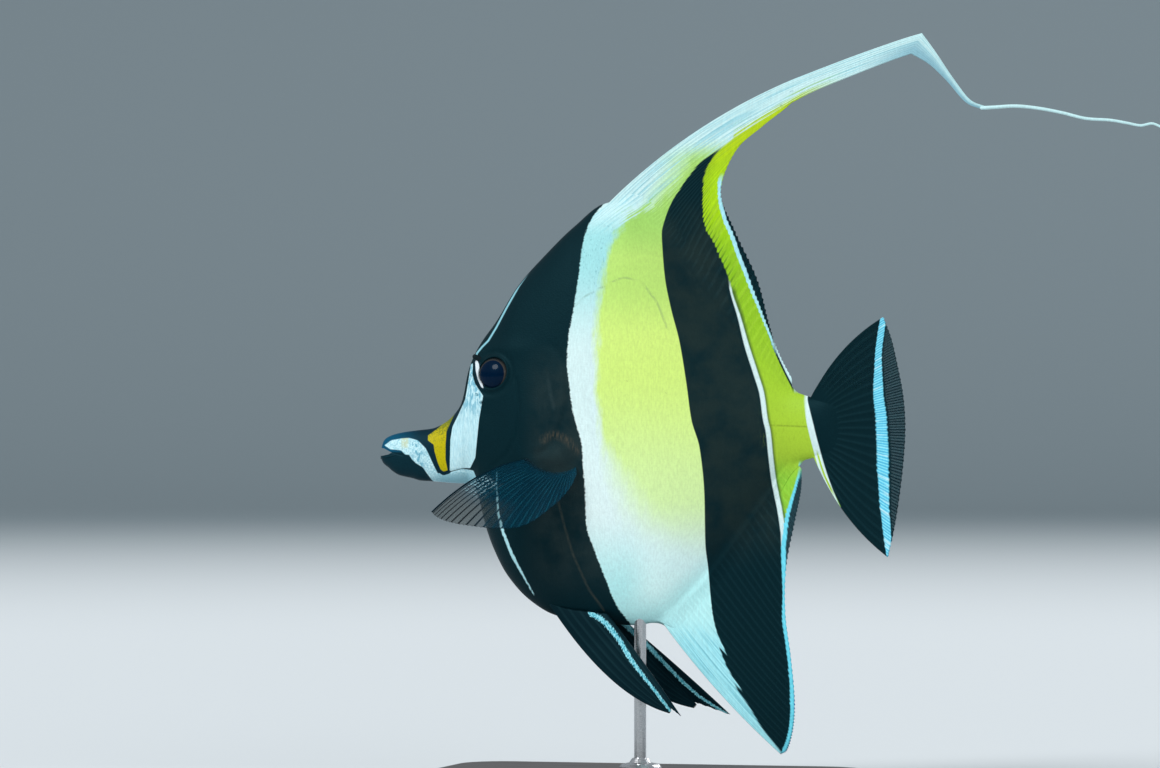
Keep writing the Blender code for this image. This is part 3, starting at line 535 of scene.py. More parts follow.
# The dorsal fin's first rays run on as a band, turn down as a narrowing kink and end in a thread;
# share is the part of the fin's rays that go into the band
streamerShape = {
    "share": 0.2,
    "bandTop": [(140.1, 117.9), (148.0, 120.8), (162.0, 125.8), (176.0, 130.4), (183.4, 132.5)],
    "bandLow": [(140.1, 110.4), (148.0, 114.2), (162.0, 119.6), (172.4, 123.4), (179.8, 125.8)],
    "kinkTop": [(183.4, 132.5), (188.0, 126.2), (193.4, 118.2), (199.2, 110.8), (204.4, 108.4)],
    "kinkLow": [(179.8, 125.8), (185.6, 122.4), (191.4, 117.0), (198.0, 109.7), (204.3, 107.2)],
    "thread": [
        (202.4, 0.0, 107.9), (207.2, 0.1, 108.1), (214.4, 0.3, 108.4), (221.8, 0.7, 107.6),
        (229.4, 1.2, 106.1), (237.0, 1.8, 104.2), (244.8, 2.5, 103.6), (250.4, 3.0, 102.6),
        (254.6, 3.5, 101.8), (258.4, 4.0, 102.4), (262.2, 4.5, 100.9), (268.0, 5.3, 99.8),
        (275.0, 6.2, 98.4), (281.0, 7.0, 96.3), (287.6, 8.0, 94.9), (294.0, 9.0, 92.4),
    ],
    "bandRows": 60, "kinkRows": 50, "threadRows": 150, "threadRadius": 0.6, "tipRadius": 0.28,
    "bandMembrane": 0.24, "threadAround": 14,
}


def rayRidge(phase, t):
    # one ridge for each ray, which forks in two towards the margin
    single = (0.5 + 0.5 * np.cos(2 * math.pi * phase)) ** 2
    forked = (0.5 - 0.5 * np.cos(4 * math.pi * phase)) ** 2
    share = ease(finShape["forkStart"], finShape["forkEnd"], t)
    return single * (1 - share) + forked * share * 0.8


def rimTaper(distance):
    near = np.clip(distance / finShape["rimWidth"], 0, 1)
    return np.sqrt(np.maximum(1 - (1 - near) ** 2, 0))


def edgeAway(points, column):
    # distance of each point of a grid to one of its outer columns
    return np.linalg.norm(points - column, axis=-1)


def rayKeys(rays, s):
    width = len(rays[0][0])
    keys = alongLine([list(root) + list(tip) + [bow] for root, tip, bow in rays], s)
    return keys[:, :width], keys[:, width:2 * width], keys[:, -1]


def finGrid(key, rays, side=1):
    # middle sheet of a fin, with the values that its look is drawn from
    shape = finShape[key]
    s = np.linspace(0, 1, shape["rays"] * shape["perRay"] + 1)
    t = np.linspace(0, 1, shape["rows"])
    t = t - finShape["rowCrowding"] * np.sin(2 * math.pi * t)      # closer at the root and the tip
    root, tip, bow = rayKeys(rays, s)
    chord = tip - root
    length = np.linalg.norm(chord, axis=1)
    phase = s * shape["rays"]
    ragged = finShape["ragged"][key] * (1 - rayRidge(phase, 1.0)) / np.maximum(length, 8.0)
    reach = t[None, :] * (1 - ragged)[:, None]
    points = root[:, None] + chord[:, None] * reach[..., None]
    curve = bow[:, None] * 4 * reach * (1 - reach)
    if points.shape[-1] == 2:
        square = np.stack([-chord[:, 1], chord[:, 0]], -1) / length[:, None]
        flat = points + square[:, None] * curve[..., None]
        points = np.insert(flat, 1, 0, axis=-1)
    else:
        points[..., 2] += curve
        points[..., 1] *= side
    grid = {"s": s[:, None] + 0 * t, "t": t[None, :] + 0 * s[:, None], "points": points}
    grid["phase"], grid["length"] = phase[:, None] + 0 * t, length[:, None] + 0 * t
    return grid


def finHalf(grid, shape, openTip=None):
    # half thickness: membrane, ridges and a thicker root, drawn in at the rims
    points, t = grid["points"], grid["t"]
    tip = (1 - t) * grid["length"]
    tip = tip if openTip is None else np.where(openTip, 9.0, tip)
    rise = ease(shape["bare"], shape["bare"] + 4.5, t * grid["length"])
    inner = shape["membrane"] * (1 - 0.35 * t)
    inner = inner + shape["ridge"] * rayRidge(grid["phase"], t) * (1 - 0.45 * t) * rise
    inner = inner + (shape["root"] - shape["membrane"]) * (1 - ease(0, 0.3, t))
    rims = rimTaper(edgeAway(points, points[:1])) * rimTaper(edgeAway(points, points[-1:])) * rimTaper(tip)
    return inner * rims * np.where(t <= 0, 0, 1)


def rayValues(grid, shape, seed):
    # values for the materials: each ray has its own random shift
    draws = np.random.RandomState(seed).uniform(-1, 1, shape["rays"] + 2)
    index = np.clip(np.round(grid["phase"]).astype(int), 0, shape["rays"] + 1)
    along = grid["t"] * grid["length"]
    return {
        "rayPhase": grid["phase"], "rayAlong": along, "rayShare": grid["t"], "rayShift": draws[index],
        "rayShow": ease(shape["bare"] - 2, shape["bare"] + 3, along), "skinOnly": 0 * grid["t"],
    }


def acrossFlat(points):
    return np.broadcast_to(np.array([0.0, 1.0, 0.0]), points.shape)


def acrossCurved(points):
    found = np.cross(np.gradient(points, axis=0), np.gradient(points, axis=1))
    return found / np.linalg.norm(found, axis=2, keepdims=True)


def makeFin(name, key, rays, seed, side=0):
    # a middle fin is flat, and one of a pair curves out to its side
    grid = finGrid(key, rays, side)
    across = acrossCurved(grid["points"]) if side else acrossFlat(grid["points"])
    values = rayValues(grid, finShape[key], seed)
    return sheetPiece(name, grid["points"], across, finHalf(grid, finShape[key]), values)


def bandGrid(fin, last):
    # the band and the kink below it, as columns that carry on the fin's first rays
    share = np.linspace(0, 1, last + 1)[:, None, None]
    runs = []
    for top, low, rows in (("bandTop", "bandLow", "bandRows"), ("kinkTop", "kinkLow", "kinkRows")):
        t = np.linspace(0, 1, streamerShape[rows])
        upper, lower = alongLine(streamerShape[top], t)[None], alongLine(streamerShape[low], t)[None]
        run = upper * (1 - share) + lower * share
        runs.append(run[:, 1:] if runs else run)
    points = np.insert(np.concatenate(runs, axis=1), 1, 0, axis=-1)
    grid = {"points": points, "t": np.ones(points.shape[:2])}
    grid["phase"] = fin["phase"][: last + 1, :1] + 0 * grid["t"]
    grid["length"] = fin["length"][: last + 1, :1] + np.linspace(0, 60, points.shape[1])
    return grid


def bandHalf(grid, shape):
    points = grid["points"]
    half = streamerShape["bandMembrane"] + shape["ridge"] * 0.5 * rayRidge(grid["phase"], 0.0)
    for column in (points[:1], points[-1:], points[:, -1:]):
        half = half * rimTaper(edgeAway(points, column))
    return half


def makeDorsalFin(seed):
    # the fin and its streamer are one mesh, joined where the band leaves the fin
    shape = finShape["dorsal"]
    grid = finGrid("dorsal", rayShape["dorsal"])
    grid["points"][..., 0] = np.minimum(grid["points"][..., 0], streamerShape["bandTop"][0][0])
    last = int(round(streamerShape["share"] * (len(grid["s"]) - 1)))
    half = finHalf(grid, shape, np.arange(len(grid["s"]))[:, None] + 0 * grid["t"] < last)
    band = bandGrid(grid, last)
    bandThick = bandHalf(band, shape)
    share = ease(0.93, 1.0, grid["t"][: last + 1])
    half[: last + 1] = half[: last + 1] * (1 - share) + bandThick[:, :1] * share
    grid["points"][: last + 1, -1] = band["points"][:, 0]
    made = []
    for name, part, thick in (("dorsalFin", grid, half), ("streamerBand", band, bandThick)):
        across = acrossFlat(part["points"])
        made.append(sheetPiece(name, part["points"], across, thick, rayValues(part, shape, seed)))
    pick(*made)
    bpy.ops.object.join()
    editPiece(made[0], closeMesh)
    made[0].data.shade_smooth()
    return made[0]


def makeThread():
    t = np.linspace(0, 1, streamerShape["threadRows"])
    path = alongLine(streamerShape["thread"], t)
    radii = streamerShape["threadRadius"] + (streamerShape["tipRadius"] - streamerShape["threadRadius"]) * t
    radii = radii * rimTaper(t * 90) * rimTaper((1 - t) * 90)
    points = tubePoints(path, radii, streamerShape["threadAround"])
    names = ("rayPhase", "rayAlong", "rayShow", "rayShift", "rayShare", "skinOnly")
    return gridPiece("streamerThread", points, dict.fromkeys(names, np.zeros(points.shape[:2])))


def finPlace(points, key):
    # where points of the flank lie among the rays of a middle fin: phase and distance from the roots
    s = np.linspace(0, 1, 400)
    root, tip, bow = rayKeys(rayShape[key], s)
    ahead = (tip - root) / np.linalg.norm(tip - root, axis=1, keepdims=True)
    x, z = points[:, 0], points[:, 2]
    share = np.interp(x, root[:, 0], s)
    for again in range(4):
        rootX, rootZ, aheadX, aheadZ = (np.interp(share, s, column) for column in (*root.T, *ahead.T))
        far = (x - rootX) * aheadX + (z - rootZ) * aheadZ
        share = np.interp(x - far * aheadX, root[:, 0], s)
    return share * finShape[key]["rays"], far


def markSkinRays(piece):
    # the fins' streaks start on the scaly sheaths
    points = sideView(piece)
    x, z = points[:, 0], points[:, 2]
    phase, far, show = np.zeros((3, len(x)))
    for key, beyond in (("dorsal", z - topOf(x)), ("anal", lowOf(x) - z)):
        here = (beyond > -16) & (x > 70) & (x < 146)
        found, distance = finPlace(points, key)
        phase, far = np.where(here, found, phase), np.where(here, distance, far)
        show = np.where(here, ease(-3, 3.5, beyond), show)
    setValue(piece, "rayPhase", phase)
    setValue(piece, "rayAlong", far)
    setValue(piece, "rayShow", show)
    setValue(piece, "skinOnly", 1 - ease(-12, -1, lowOf(x) - z))


# Eyes and horns

hornShape = {
    "root": (35.4, 4.3, 26.6), "tip": (33.0, 5.5, 27.8), "radius": 1.3, "tipRadius": 0.7, "sink": 0.6,
    "rows": 30, "around": 28,
}


def makeEye(name, side):
    pick()
    bpy.ops.mesh.primitive_uv_sphere_add(segments=72, ring_count=48, radius=1)
    eye = bpy.context.object
    eye.name = eye.data.name = name
    quarter = {"value": math.pi / 2, "orient_axis": "X", "center_override": (0, 0, 0)}
    editPiece(eye, lambda: bpy.ops.transform.rotate(**quarter))
    ball = getPoints(eye)
    long, deep, high = eyeShape["size"]
    setValue(eye, "eyeAway", np.hypot(ball[:, 0] * long, ball[:, 2] * high + eyeShape["pupilLow"]))
    setValue(eye, "eyeAngle", np.arctan2(ball[:, 2], ball[:, 0]))
    at = np.array(eyeShape["at"]) * (1, side, 1)
    setPoints(eye, placed(ball * eyeShape["size"] @ eyeTurn(side).T + at))
    editPiece(eye, closeMesh)
    eye.data.shade_smooth()
    return eye


def makeHorn(name, side):
    root, tip = np.array(hornShape["root"]), np.array(hornShape["tip"])
    root = root - (tip - root) * hornShape["sink"]
    t = np.linspace(0, 1, hornShape["rows"])
    path = root + (tip - root) * t[:, None]
    length = np.linalg.norm(path[-1] - path[0])
    radii = hornShape["radius"] + (hornShape["tipRadius"] - hornShape["radius"]) * t
    toTip = np.clip((1 - t) * length / hornShape["tipRadius"], 0, 1)
    radii = radii * np.sqrt(1 - (1 - toTip) ** 2)
    radii[0] = 0
    return gridPiece(name, tubePoints(path * (1, side, 1), radii, hornShape["around"]))


# Markings, as edges, lines and outlines of the side view that the camera sees

# Edges run from the back down to the belly
edgeShape = {
    "frontEdge": [
        (77.2, 78.5), (72.1, 72.6), (69.3, 64.7), (68.0, 55.4), (66.3, 43.9), (64.2, 32.3),
        (63.9, 25.1), (64.6, 18.2), (65.9, 9.2), (69.0, -2.6), (69.3, -8.2), (70.0, -17.2),
        (70.4, -27.4), (73.4, -36.6), (77.2, -46.2), (81.0, -54.8), (85.4, -60.4),
    ],
    "yellowEnd": [
        (120.4, 98.9), (114.9, 95.3), (108.7, 91.0), (103.8, 85.0), (99.4, 78.2), (97.0, 72.3),
        (96.0, 68.0), (96.3, 61.7), (97.0, 53.5), (99.1, 42.9), (101.8, 32.7), (104.2, 18.5),
        (105.9, 6.6), (108.6, -2.3), (110.3, -18.2), (110.7, -34.0), (111.7, -41.9), (112.5, -51.0),
        (113.0, -56.0), (113.3, -60.0), (113.9, -64.0), (115.3, -68.0), (117.3, -73.0), (119.6, -78.0),
        (121.9, -82.4), (125.3, -87.1), (130.0, -94.5), (137.3, -103.3),
    ],
    "rearEnd": [
        (120.4, 98.9), (116.3, 95.7), (112.6, 91.0), (110.5, 84.5), (110.3, 77.5), (111.4, 69.3),
        (114.4, 64.4), (116.8, 58.7), (118.9, 52.8), (119.6, 48.8), (122.3, 40.3), (124.7, 31.4),
        (127.8, 21.8), (129.8, 15.2), (131.0, 6.6), (131.8, 3.3), (132.8, -5.3), (133.9, -13.1),
        (134.9, -18.0), (135.9, -22.6), (136.6, -27.0), (137.1, -31.0), (137.3, -38.3), (137.4, -48.8),
        (137.4, -59.1), (138.7, -69.0), (140.7, -77.5), (140.4, -84.8), (140.7, -91.7), (139.4, -99.0),
        (137.3, -103.3),
    ],
    "dorsalLine": [
        (117.2, 88.4), (115.8, 84.2), (116.1, 78.5), (117.5, 72.6), (119.9, 67.3), (122.0, 61.1),
        (124.7, 54.5), (127.4, 47.6), (130.2, 40.8), (132.6, 34.6), (135.0, 28.2), (137.7, 22.2),
        (140.4, 17.0),
    ],
    "analLine": [
        (142.4, -6.6), (142.0, -10.6), (141.2, -14.3), (139.7, -18.7), (138.3, -23.8), (137.2, -29.7),
        (136.5, -35.4), (136.7, -41.7), (137.0, -50.2), (136.9, -58.4), (137.4, -62.5), (138.3, -68.7),
        (139.3, -77.9), (139.6, -87.2), (139.3, -93.0), (138.6, -97.0), (136.6, -102.2),
    ],
    "yellowStart": [
        (106.0, 92.0), (103.6, 86.4), (99.9, 81.6), (95.0, 78.1), (86.5, 74.5), (82.6, 70.6),
        (79.6, 65.6), (76.8, 56.0), (74.6, 44.0), (73.8, 30.0), (74.2, 16.9), (74.8, 6.6), (77.6, -4.0),
        (82.5, -14.0), (90.0, -27.0), (101.0, -38.0), (114.0, -47.0),
    ],
    "tailBand": [
        (170.0, 40.3), (168.4, 27.1), (168.3, 16.5), (169.4, 6.6), (169.8, -5.3), (170.4, -20.8),
        (172.0, -37.6),
    ],
    "tailBase": [
        (147.6, 18.4), (145.2, 15.8), (144.5, 13.4), (145.0, 9.9), (146.4, 3.3), (148.4, -4.0),
        (150.2, -9.9), (155.7, -21.5),
    ],
}
lineShape = {
    "breastLine": [
        (40.0, -10.6), (39.8, -14.0), (40.0, -17.8), (40.3, -23.8), (42.0, -30.4), (45.1, -38.0),
        (49.5, -45.9), (52.6, -51.2),
    ],
    "faintLine": [(60.8, -19.8), (63.2, -29.0), (65.9, -37.6), (71.1, -48.8), (76.5, -56.1)],
    "browLine": [
        (52.0, 57.0), (47.4, 50.8), (43.2, 43.6), (39.6, 37.0), (36.9, 32.7), (34.8, 30.7),
        (33.0, 28.6), (32.4, 25.6),
    ],
    "lateralLine": [
        (66.6, 44.2), (71.0, 47.8), (76.5, 50.5), (83.0, 53.5), (89.5, 51.5), (94.6, 44.9),
        (98.0, 36.3),
    ],
    "flankDash": [(78.9, 21.1), (91.2, 17.2), (102.8, 13.9), (121.3, 9.2), (141.8, 4.3)],
    "shoulderArc": [(55.9, 0.2), (58.0, 1.4), (60.2, 1.7), (63.5, 0.3), (67.4, -3.7)],
    "padLine": [(55.4, -4.6), (58.0, -6.2), (61.6, -6.6), (64.6, -5.0)],
    "stemLine": [(131.0, 5.0), (139.0, 4.7), (147.0, 4.4)],
    "gillStreak": [(57.4, 19.8), (58.2, 16.0), (59.4, 10.2)],
}
outlineShape = {
    "snoutWhite": [
        (1.0, -2.0), (3.4, -0.3), (6.8, 0.3), (9.6, 0.5), (12.6, -0.3), (15.4, -3.0), (16.7, -5.6),
        (18.4, -9.2), (19.5, -11.2), (23.6, -10.9), (28.0, -9.6), (31.8, -10.2), (33.0, -12.9),
        (30.4, -17.5), (22.2, -18.2), (17.4, -13.4), (15.7, -11.2), (14.3, -9.2), (12.0, -7.9),
        (10.6, -6.6), (9.6, -5.1), (8.2, -5.0), (6.8, -3.6), (3.1, -3.3),
    ],
    "saddle": [
        (25.8, 9.6), (22.5, 6.6), (19.5, 3.7), (16.1, 1.3), (16.1, -0.3), (18.1, -1.7), (18.4, -4.0),
        (19.5, -7.6), (20.5, -9.9), (21.5, -10.6), (22.9, -10.2), (22.2, -6.6), (22.2, -1.7),
        (22.5, 2.6), (23.8, 5.4),
    ],
    "stripe": [
        (30.9, 25.0), (30.2, 20.0), (29.0, 13.2), (26.6, 8.2), (24.6, 4.3), (23.9, 0.0), (23.6, -10.6),
        (28.0, -9.4), (30.7, -9.4), (32.5, -5.9), (33.1, 0.0), (33.8, 6.6), (35.2, 14.5), (34.0, 16.2),
        (32.4, 18.5), (31.5, 21.4), (31.6, 25.2),
    ],
    "eyeArc": [
        (32.8, 27.1), (33.8, 25.1), (34.2, 22.1), (34.8, 19.5), (35.5, 16.8), (34.5, 17.2),
        (33.3, 19.8), (32.5, 22.8), (32.3, 25.7),
    ],
}
# Where the lime of the dorsal fin begins, from below, and half of the tail band's width by level
limeEdge = [
    (108.0, 88.0), (111.0, 91.6), (114.4, 96.2), (119.6, 100.4), (129.8, 106.3), (136.6, 110.4),
    (143.5, 113.8), (150.0, 116.6), (157.0, 119.4),
]
tailBandHalf = [
    (40.3, 1.0), (27.1, 1.1), (16.5, 1.6), (6.6, 1.8), (-5.3, 1.9), (-20.8, 1.5), (-37.6, 1.0),
]


def markPiece(piece):
    # writes the distances that the markings are drawn from, with fine teeth between the rays
    points = sideView(piece)
    x, z = points[:, 0] - math.tan(viewTurn) * abs(points[:, 1]), points[:, 2]
    shift = getValue(piece, "rayShift")
    tooth = 1 - 2 * abs(getValue(piece, "rayPhase") * 2 % 1 - 0.5)
    teeth = tooth * (0.6 + 0.4 * shift) * getValue(piece, "rayShow")
    toothed = {
        "yellowEnd": (0.2 * shift - 0.6 * teeth) * ease(-50, -62, z) - 0.9 * teeth * ease(78, 84, z),
        "rearEnd": 1.1 * teeth * ease(46, 60, z) * ease(96, 90, z),
        "analLine": 0.5 * teeth, "dorsalLine": 0.5 * teeth, "tailBand": 0.25 * teeth,
    }
    for name, line in edgeShape.items():
        away = acrossEdge(x, z, line)
        if name == "tailBand":
            low, high = tailBandHalf[-1][0], tailBandHalf[0][0]
            away = away / smoothCurve(tailBandHalf)(np.clip(z, low, high))
        setValue(piece, name, away + toothed.get(name, 0))
    for name, outline in outlineShape.items():
        setValue(piece, name, outlineDistance(x, z, outline))
    for name, line in lineShape.items():
        setValue(piece, name, lineDistance(x, z, line))
    limeTop = smoothCurve(limeEdge)(np.clip(x, limeEdge[0][0], limeEdge[-1][0]))
    setValue(piece, "limeEdge", limeTop - z + shift * 0.8)
    setValue(piece, "sideX", x)
    setValue(piece, "sideZ", z)
    setValue(piece, "sideAway", abs(points[:, 1]))


# Node helpers: a value is a socket, a number or a colour, and a node joins the tree of its sockets

def treeOf(*values):
    return next(value.id_data for value in values if isinstance(value, bpy.types.NodeSocket))


def feed(socket, value):
    # links a socket, or sets a plain number or colour
    if isinstance(value, bpy.types.NodeSocket):
        socket.id_data.links.new(value, socket)
    elif hasattr(value, "__len__") and len(value) == 3 and socket.type == "RGBA":
        socket.default_value = (*value, 1.0)
    else:
        socket.default_value = value


def addNode(tree, kind, inputs, **settings):
    node = tree.nodes.new("ShaderNode" + kind)
    for key, value in settings.items():
        setattr(node, key, value)
    for key, value in inputs.items():
        feed(node.inputs[key], value)
    return node


def combine(operation, a, b=0.0):
    return addNode(treeOf(a, b), "Math", {0: a, 1: b}, operation=operation).outputs[0]


def plus(a, b):
    return combine("ADD", a, b)


def minus(a, b):
    return combine("SUBTRACT", a, b)


def most(a, b):
    return combine("MAXIMUM", a, b)


def size(a):
    return combine("ABSOLUTE", a)


def times(*values):
    found = values[0]
    for value in values[1:]:
        found = combine("MULTIPLY", found, value)
    return found


def comb(phase, turns=1):
    # one wave, or several, for each ray
    return combine("COSINE", times(phase, 2 * math.pi * turns))


def mix(share, a, b, blend="MIX"):
    settings = {"data_type": "RGBA", "blend_type": blend}
    return addNode(treeOf(share, a, b), "Mix", {0: share, 6: a, 7: b}, **settings).outputs[2]


def layer(below, top, *masks):
    # a colour over another where all the masks meet
    return mix(times(*masks), below, top)


def step(value, low, high, start=0.0, end=1.0):
    # smooth step of a value from start to end
    inputs = dict(enumerate((value, low, high, start, end)))
    return addNode(treeOf(value), "MapRange", inputs, interpolation_type="SMOOTHSTEP").outputs[0]


def past(away, soft=0.12, edge=0.0):
    return step(away, edge - soft, edge + soft)      # 1 behind an edge


def within(away, soft=0.12, edge=0.0):
    return step(away, edge + soft, edge - soft)      # 1 inside an outline or near a line


def between(level, low, high):
    return times(step(level, low - 1.5, low + 1.5), step(level, high + 1.5, high - 1.5))


def read(tree, name):
    return addNode(tree, "Attribute", {}, attribute_name=name).outputs["Fac"]


def objectPlace(tree, squeeze=(1, 1, 1)):
    place = addNode(tree, "TexCoord", {}).outputs["Object"]
    return addNode(tree, "Mapping", {"Vector": place, "Scale": squeeze}).outputs["Vector"]


def noise(tree, scale, detail=3.0, squeeze=(1, 1, 1), roughness=0.55, vector=None):
    vector = objectPlace(tree, squeeze) if vector is None else vector
    inputs = {"Vector": vector, "Scale": scale, "Detail": detail, "Roughness": roughness}
    return addNode(tree, "TexNoise", inputs).outputs["Fac"]


def roughen(height, strength, distance, normal=None):
    inputs = {"Height": height, "Strength": strength, "Distance": distance}
    if normal is not None:
        inputs["Normal"] = normal
    return addNode(treeOf(height), "Bump", inputs).outputs["Normal"]


def newGroup(name, inputs, outputs):
    group = bpy.data.node_groups.new(name, "ShaderNodeTree")
    for label, value in inputs.items():
        socket = group.interface.new_socket(name=label, in_out="INPUT", socket_type="NodeSocketFloat")
        socket.default_value = value
    for label, kind in outputs.items():
        group.interface.new_socket(name=label, in_out="OUTPUT", socket_type="NodeSocket" + kind)
    return group, group.nodes.new("NodeGroupInput").outputs, group.nodes.new("NodeGroupOutput").inputs


def useGroup(tree, group, **values):
    return addNode(tree, "Group", values, node_tree=group).outputs


# Colours

idolColours = {
    "black": (0.0015, 0.013, 0.018), "brownBlack": (0.017, 0.029, 0.03),
    "rearBlack": (0.0125, 0.0235, 0.0225), "white": (0.66, 0.83, 0.82), "whiteTop": (0.35, 0.69, 0.7),
    "whiteLow": (0.75, 0.9, 0.885), "belly": (0.5, 0.87, 0.87), "paintedLightBelly": (0.72, 0.98, 0.96),
    "analWhite": (0.4, 0.83, 0.9), "yellow": (0.64, 0.84, 0.2), "paleYellow": (0.69, 0.9, 0.42),
    "greenYellow": (0.37, 0.65, 0.14), "lime": (0.28, 0.56, 0.014), "limeLow": (0.4, 0.6, 0.04),
    "limeAnal": (0.28, 0.6, 0.045), "limeHigh": (0.42, 0.7, 0.005), "cyan": (0.16, 0.7, 0.86),
    "saddle": (0.5, 0.42, 0.001), "saddleTop": (0.09, 0.14, 0.02), "faceBlue": (0.11, 0.37, 0.5),
    "cream": (0.6, 0.66, 0.42), "throat": (0.26, 0.5, 0.58), "snoutBlue": (0.003, 0.075, 0.145),
    "snoutDark": (0.003, 0.018, 0.03), "jaw": (0.003, 0.02, 0.03), "streamer": (0.6, 0.83, 0.83),
    "streamerLime": (0.46, 0.74, 0.2), "rimLine": (0.4, 0.78, 0.86), "kink": (0.26, 0.48, 0.56),
    "streamerBlue": (0.27, 0.6, 0.68), "limeTop": (0.5, 0.66, 0.006), "eyeArc": (0.72, 0.8, 0.84),
    "margin": (0.014, 0.042, 0.054), "hair": (0.1, 0.3, 0.34), "analStreak": (0.16, 0.52, 0.62),
    "fleck": (0.08, 0.28, 0.36), "limeStreak": (0.3, 0.5, 0.03), "hatch": (0.03, 0.08, 0.012),
    "paleRim": (0.6, 0.84, 0.86), "violet": (0.1, 0.12, 0.55), "breast": (0.46, 0.8, 0.86),
    "breastTop": (0.1, 0.3, 0.38), "stemMottle": (0.22, 0.33, 0.02), "silver": (0.58, 0.82, 0.86),
    "silverDark": (0.42, 0.69, 0.76), "snoutPale": (0.6, 0.84, 0.88), "snoutGrey": (0.34, 0.62, 0.7),
    "saddleSpeck": (0.2, 0.21, 0.003), "bandDark": (0.1, 0.5, 0.74), "bandBlue": (0.26, 0.78, 0.9),
    "bandPale": (0.6, 0.88, 0.94), "rimGrey": (0.022, 0.056, 0.068), "rimDark": (0.002, 0.014, 0.02),
    "paintedRaySheen": (0.75, 0.75, 0.7), "rayBlue": (0.15, 0.4, 0.5), "membrane": (0.15, 0.3, 0.34),
}
# Pale points of the white that run out along the anal fin's rays: the level where each starts, its
# tip's place and how far it reaches past the band's edge
analSpurs = [(-55.0, 117.7, -70.0, 1.5), (-73.0, 123.4, -82.4, 1.1)]
# Fine lines of the flank, in the order that they are laid on: softness, half width, strength,
# colour, and the levels, places or speckles that they fade in over
fineLines = {
    "faintLine": (0.35, 0.35, 0.35, (0.08, 0.08, 0.06), {}),
    "browLine": (0.2, 0.28, 0.9, (0.30, 0.66, 0.76), {"sideAway": (1.2, 2.2)}),
    "shoulderArc": (1.2, 1.0, 0.75, (0.080, 0.066, 0.046), {"fine": (0.3, 0.7)}),
    "padLine": (1.3, 2.6, 0.7, (0.011, 0.019, 0.020), {}),
    "gillStreak": (0.7, 0.4, 0.05, (0.22, 0.30, 0.30), {}),
    "lateralLine": (0.3, 0.35, 0.4, (0.12, 0.20, 0.13), {"fine": (0.36, 0.5)}),
    "flankDash": (0.2, 0.2, 0.45, (0.16, 0.22, 0.06), {"fine": (0.46, 0.6), "sideX": (105, 102)}),
    "stemLine": (0.22, 0.25, 0.5, (0.14, 0.18, 0.015), {"sideX": (131, 133), "fine": (0.3, 0.5)}),
}
onFrontBand = ("faintLine", "padLine")       # of these, the ones kept to the front black band


def makeStreaks():
    # long fine streaks that follow the rays of a fin
    group, given, out = newGroup("rayStreaks", {}, {"Streak": "Float", "Ray": "Float"})
    phase = read(group, "rayPhase")
    stretched = {"X": times(phase, 2.6), "Y": times(read(group, "rayAlong"), 0.035)}
    vector = addNode(group, "CombineXYZ", stretched).outputs[0]
    feed(out["Streak"], noise(group, 1.0, 3, roughness=0.6, vector=vector))
    feed(out["Ray"], times(read(group, "rayShow"), step(comb(phase), 0.2, 0.95)))
    return group


def paintPale(c, at, level, along, streak):
    # the white band and its yellow
    tree = level.id_data
    wide = noise(tree, 520, 4, (1, 1, 0.25))
    inStreaks = step(level, 66, 76)
    drift = plus(times(minus(wide, 0.5), 5.0), times(minus(streak, 0.5), inStreaks, 22.0))
    softness = step(level, 8, -24, 1.8, 9.0)
    yellow = step(plus(at["yellowStart"], drift), times(softness, -1.0), softness)
    yellow = times(yellow, step(level, -43, -18), step(level, 97, 90), step(along, 200, 192))
    yellowTone = mix(step(level, -30, 25), c["paleYellow"], c["yellow"])
    green = most(step(level, 32, 52, 0.0, 0.55), step(level, 44, 74))
    yellowTone = mix(green, yellowTone, c["greenYellow"])
    white = mix(step(level, -18, 24), c["whiteLow"], c["white"])
    white = layer(white, c["whiteTop"], step(level, 26, 60))
    # Painted light: the belly skin in front of the anal fin is painted lighter than the fin's white,
    # against the shade it takes where it faces down
    belly = mix(times(step(along, 82, 95), at["skinOnly"]), c["belly"], c["paintedLightBelly"])
    white = layer(white, belly, step(level, -22, -50))
    white = layer(white, c["analWhite"], step(level, -56, -70))
    hair = noise(tree, 2300, 2, (1, 1, 0.22))
    white = layer(white, c["hair"], step(hair, 0.60, 0.68), step(level, 40, 60), 0.45)
    white = layer(white, paintStreamer(c, at, level, along, streak), inStreaks)
    white = layer(white, c["analStreak"], at["blueStreak"], step(level, -58, -68), 0.7)
    pale = layer(white, yellowTone, yellow)
    fleck = step(noise(tree, 260, 2), 0.70, 0.74)
    return layer(pale, c["fleck"], fleck, step(level, 92, 98), step(along, 150, 140), 0.6)


def paintStreamer(c, at, level, along, streak):
    # the streamer and the front of the dorsal fin, with blue and lime streaks along the rays
    tone = mix(times(at["blueStreak"], 0.8), c["streamer"], c["streamerBlue"])
    besideBlack = times(step(at["yellowEnd"], -11, -1), step(level, 100, 92), step(along, 200, 192))
    tone = layer(tone, c["streamerLime"], besideBlack, step(streak, 0.66, 0.44))
    return layer(tone, c["kink"], step(at["rayPhase"], 1.0, 6.5), step(along, 158, 184))


def paintLime(c, at, level):
    lime = mix(step(level, -10, 60), c["limeLow"], c["lime"])
    lime = layer(lime, c["limeAnal"], step(level, -4, -14))
    lime = layer(lime, c["limeHigh"], step(level, 58, 80))
    lime = layer(lime, c["limeTop"], step(level, 84, 100))
    return layer(lime, c["limeStreak"], at["blueStreak"], 0.5, at["rayShow"])


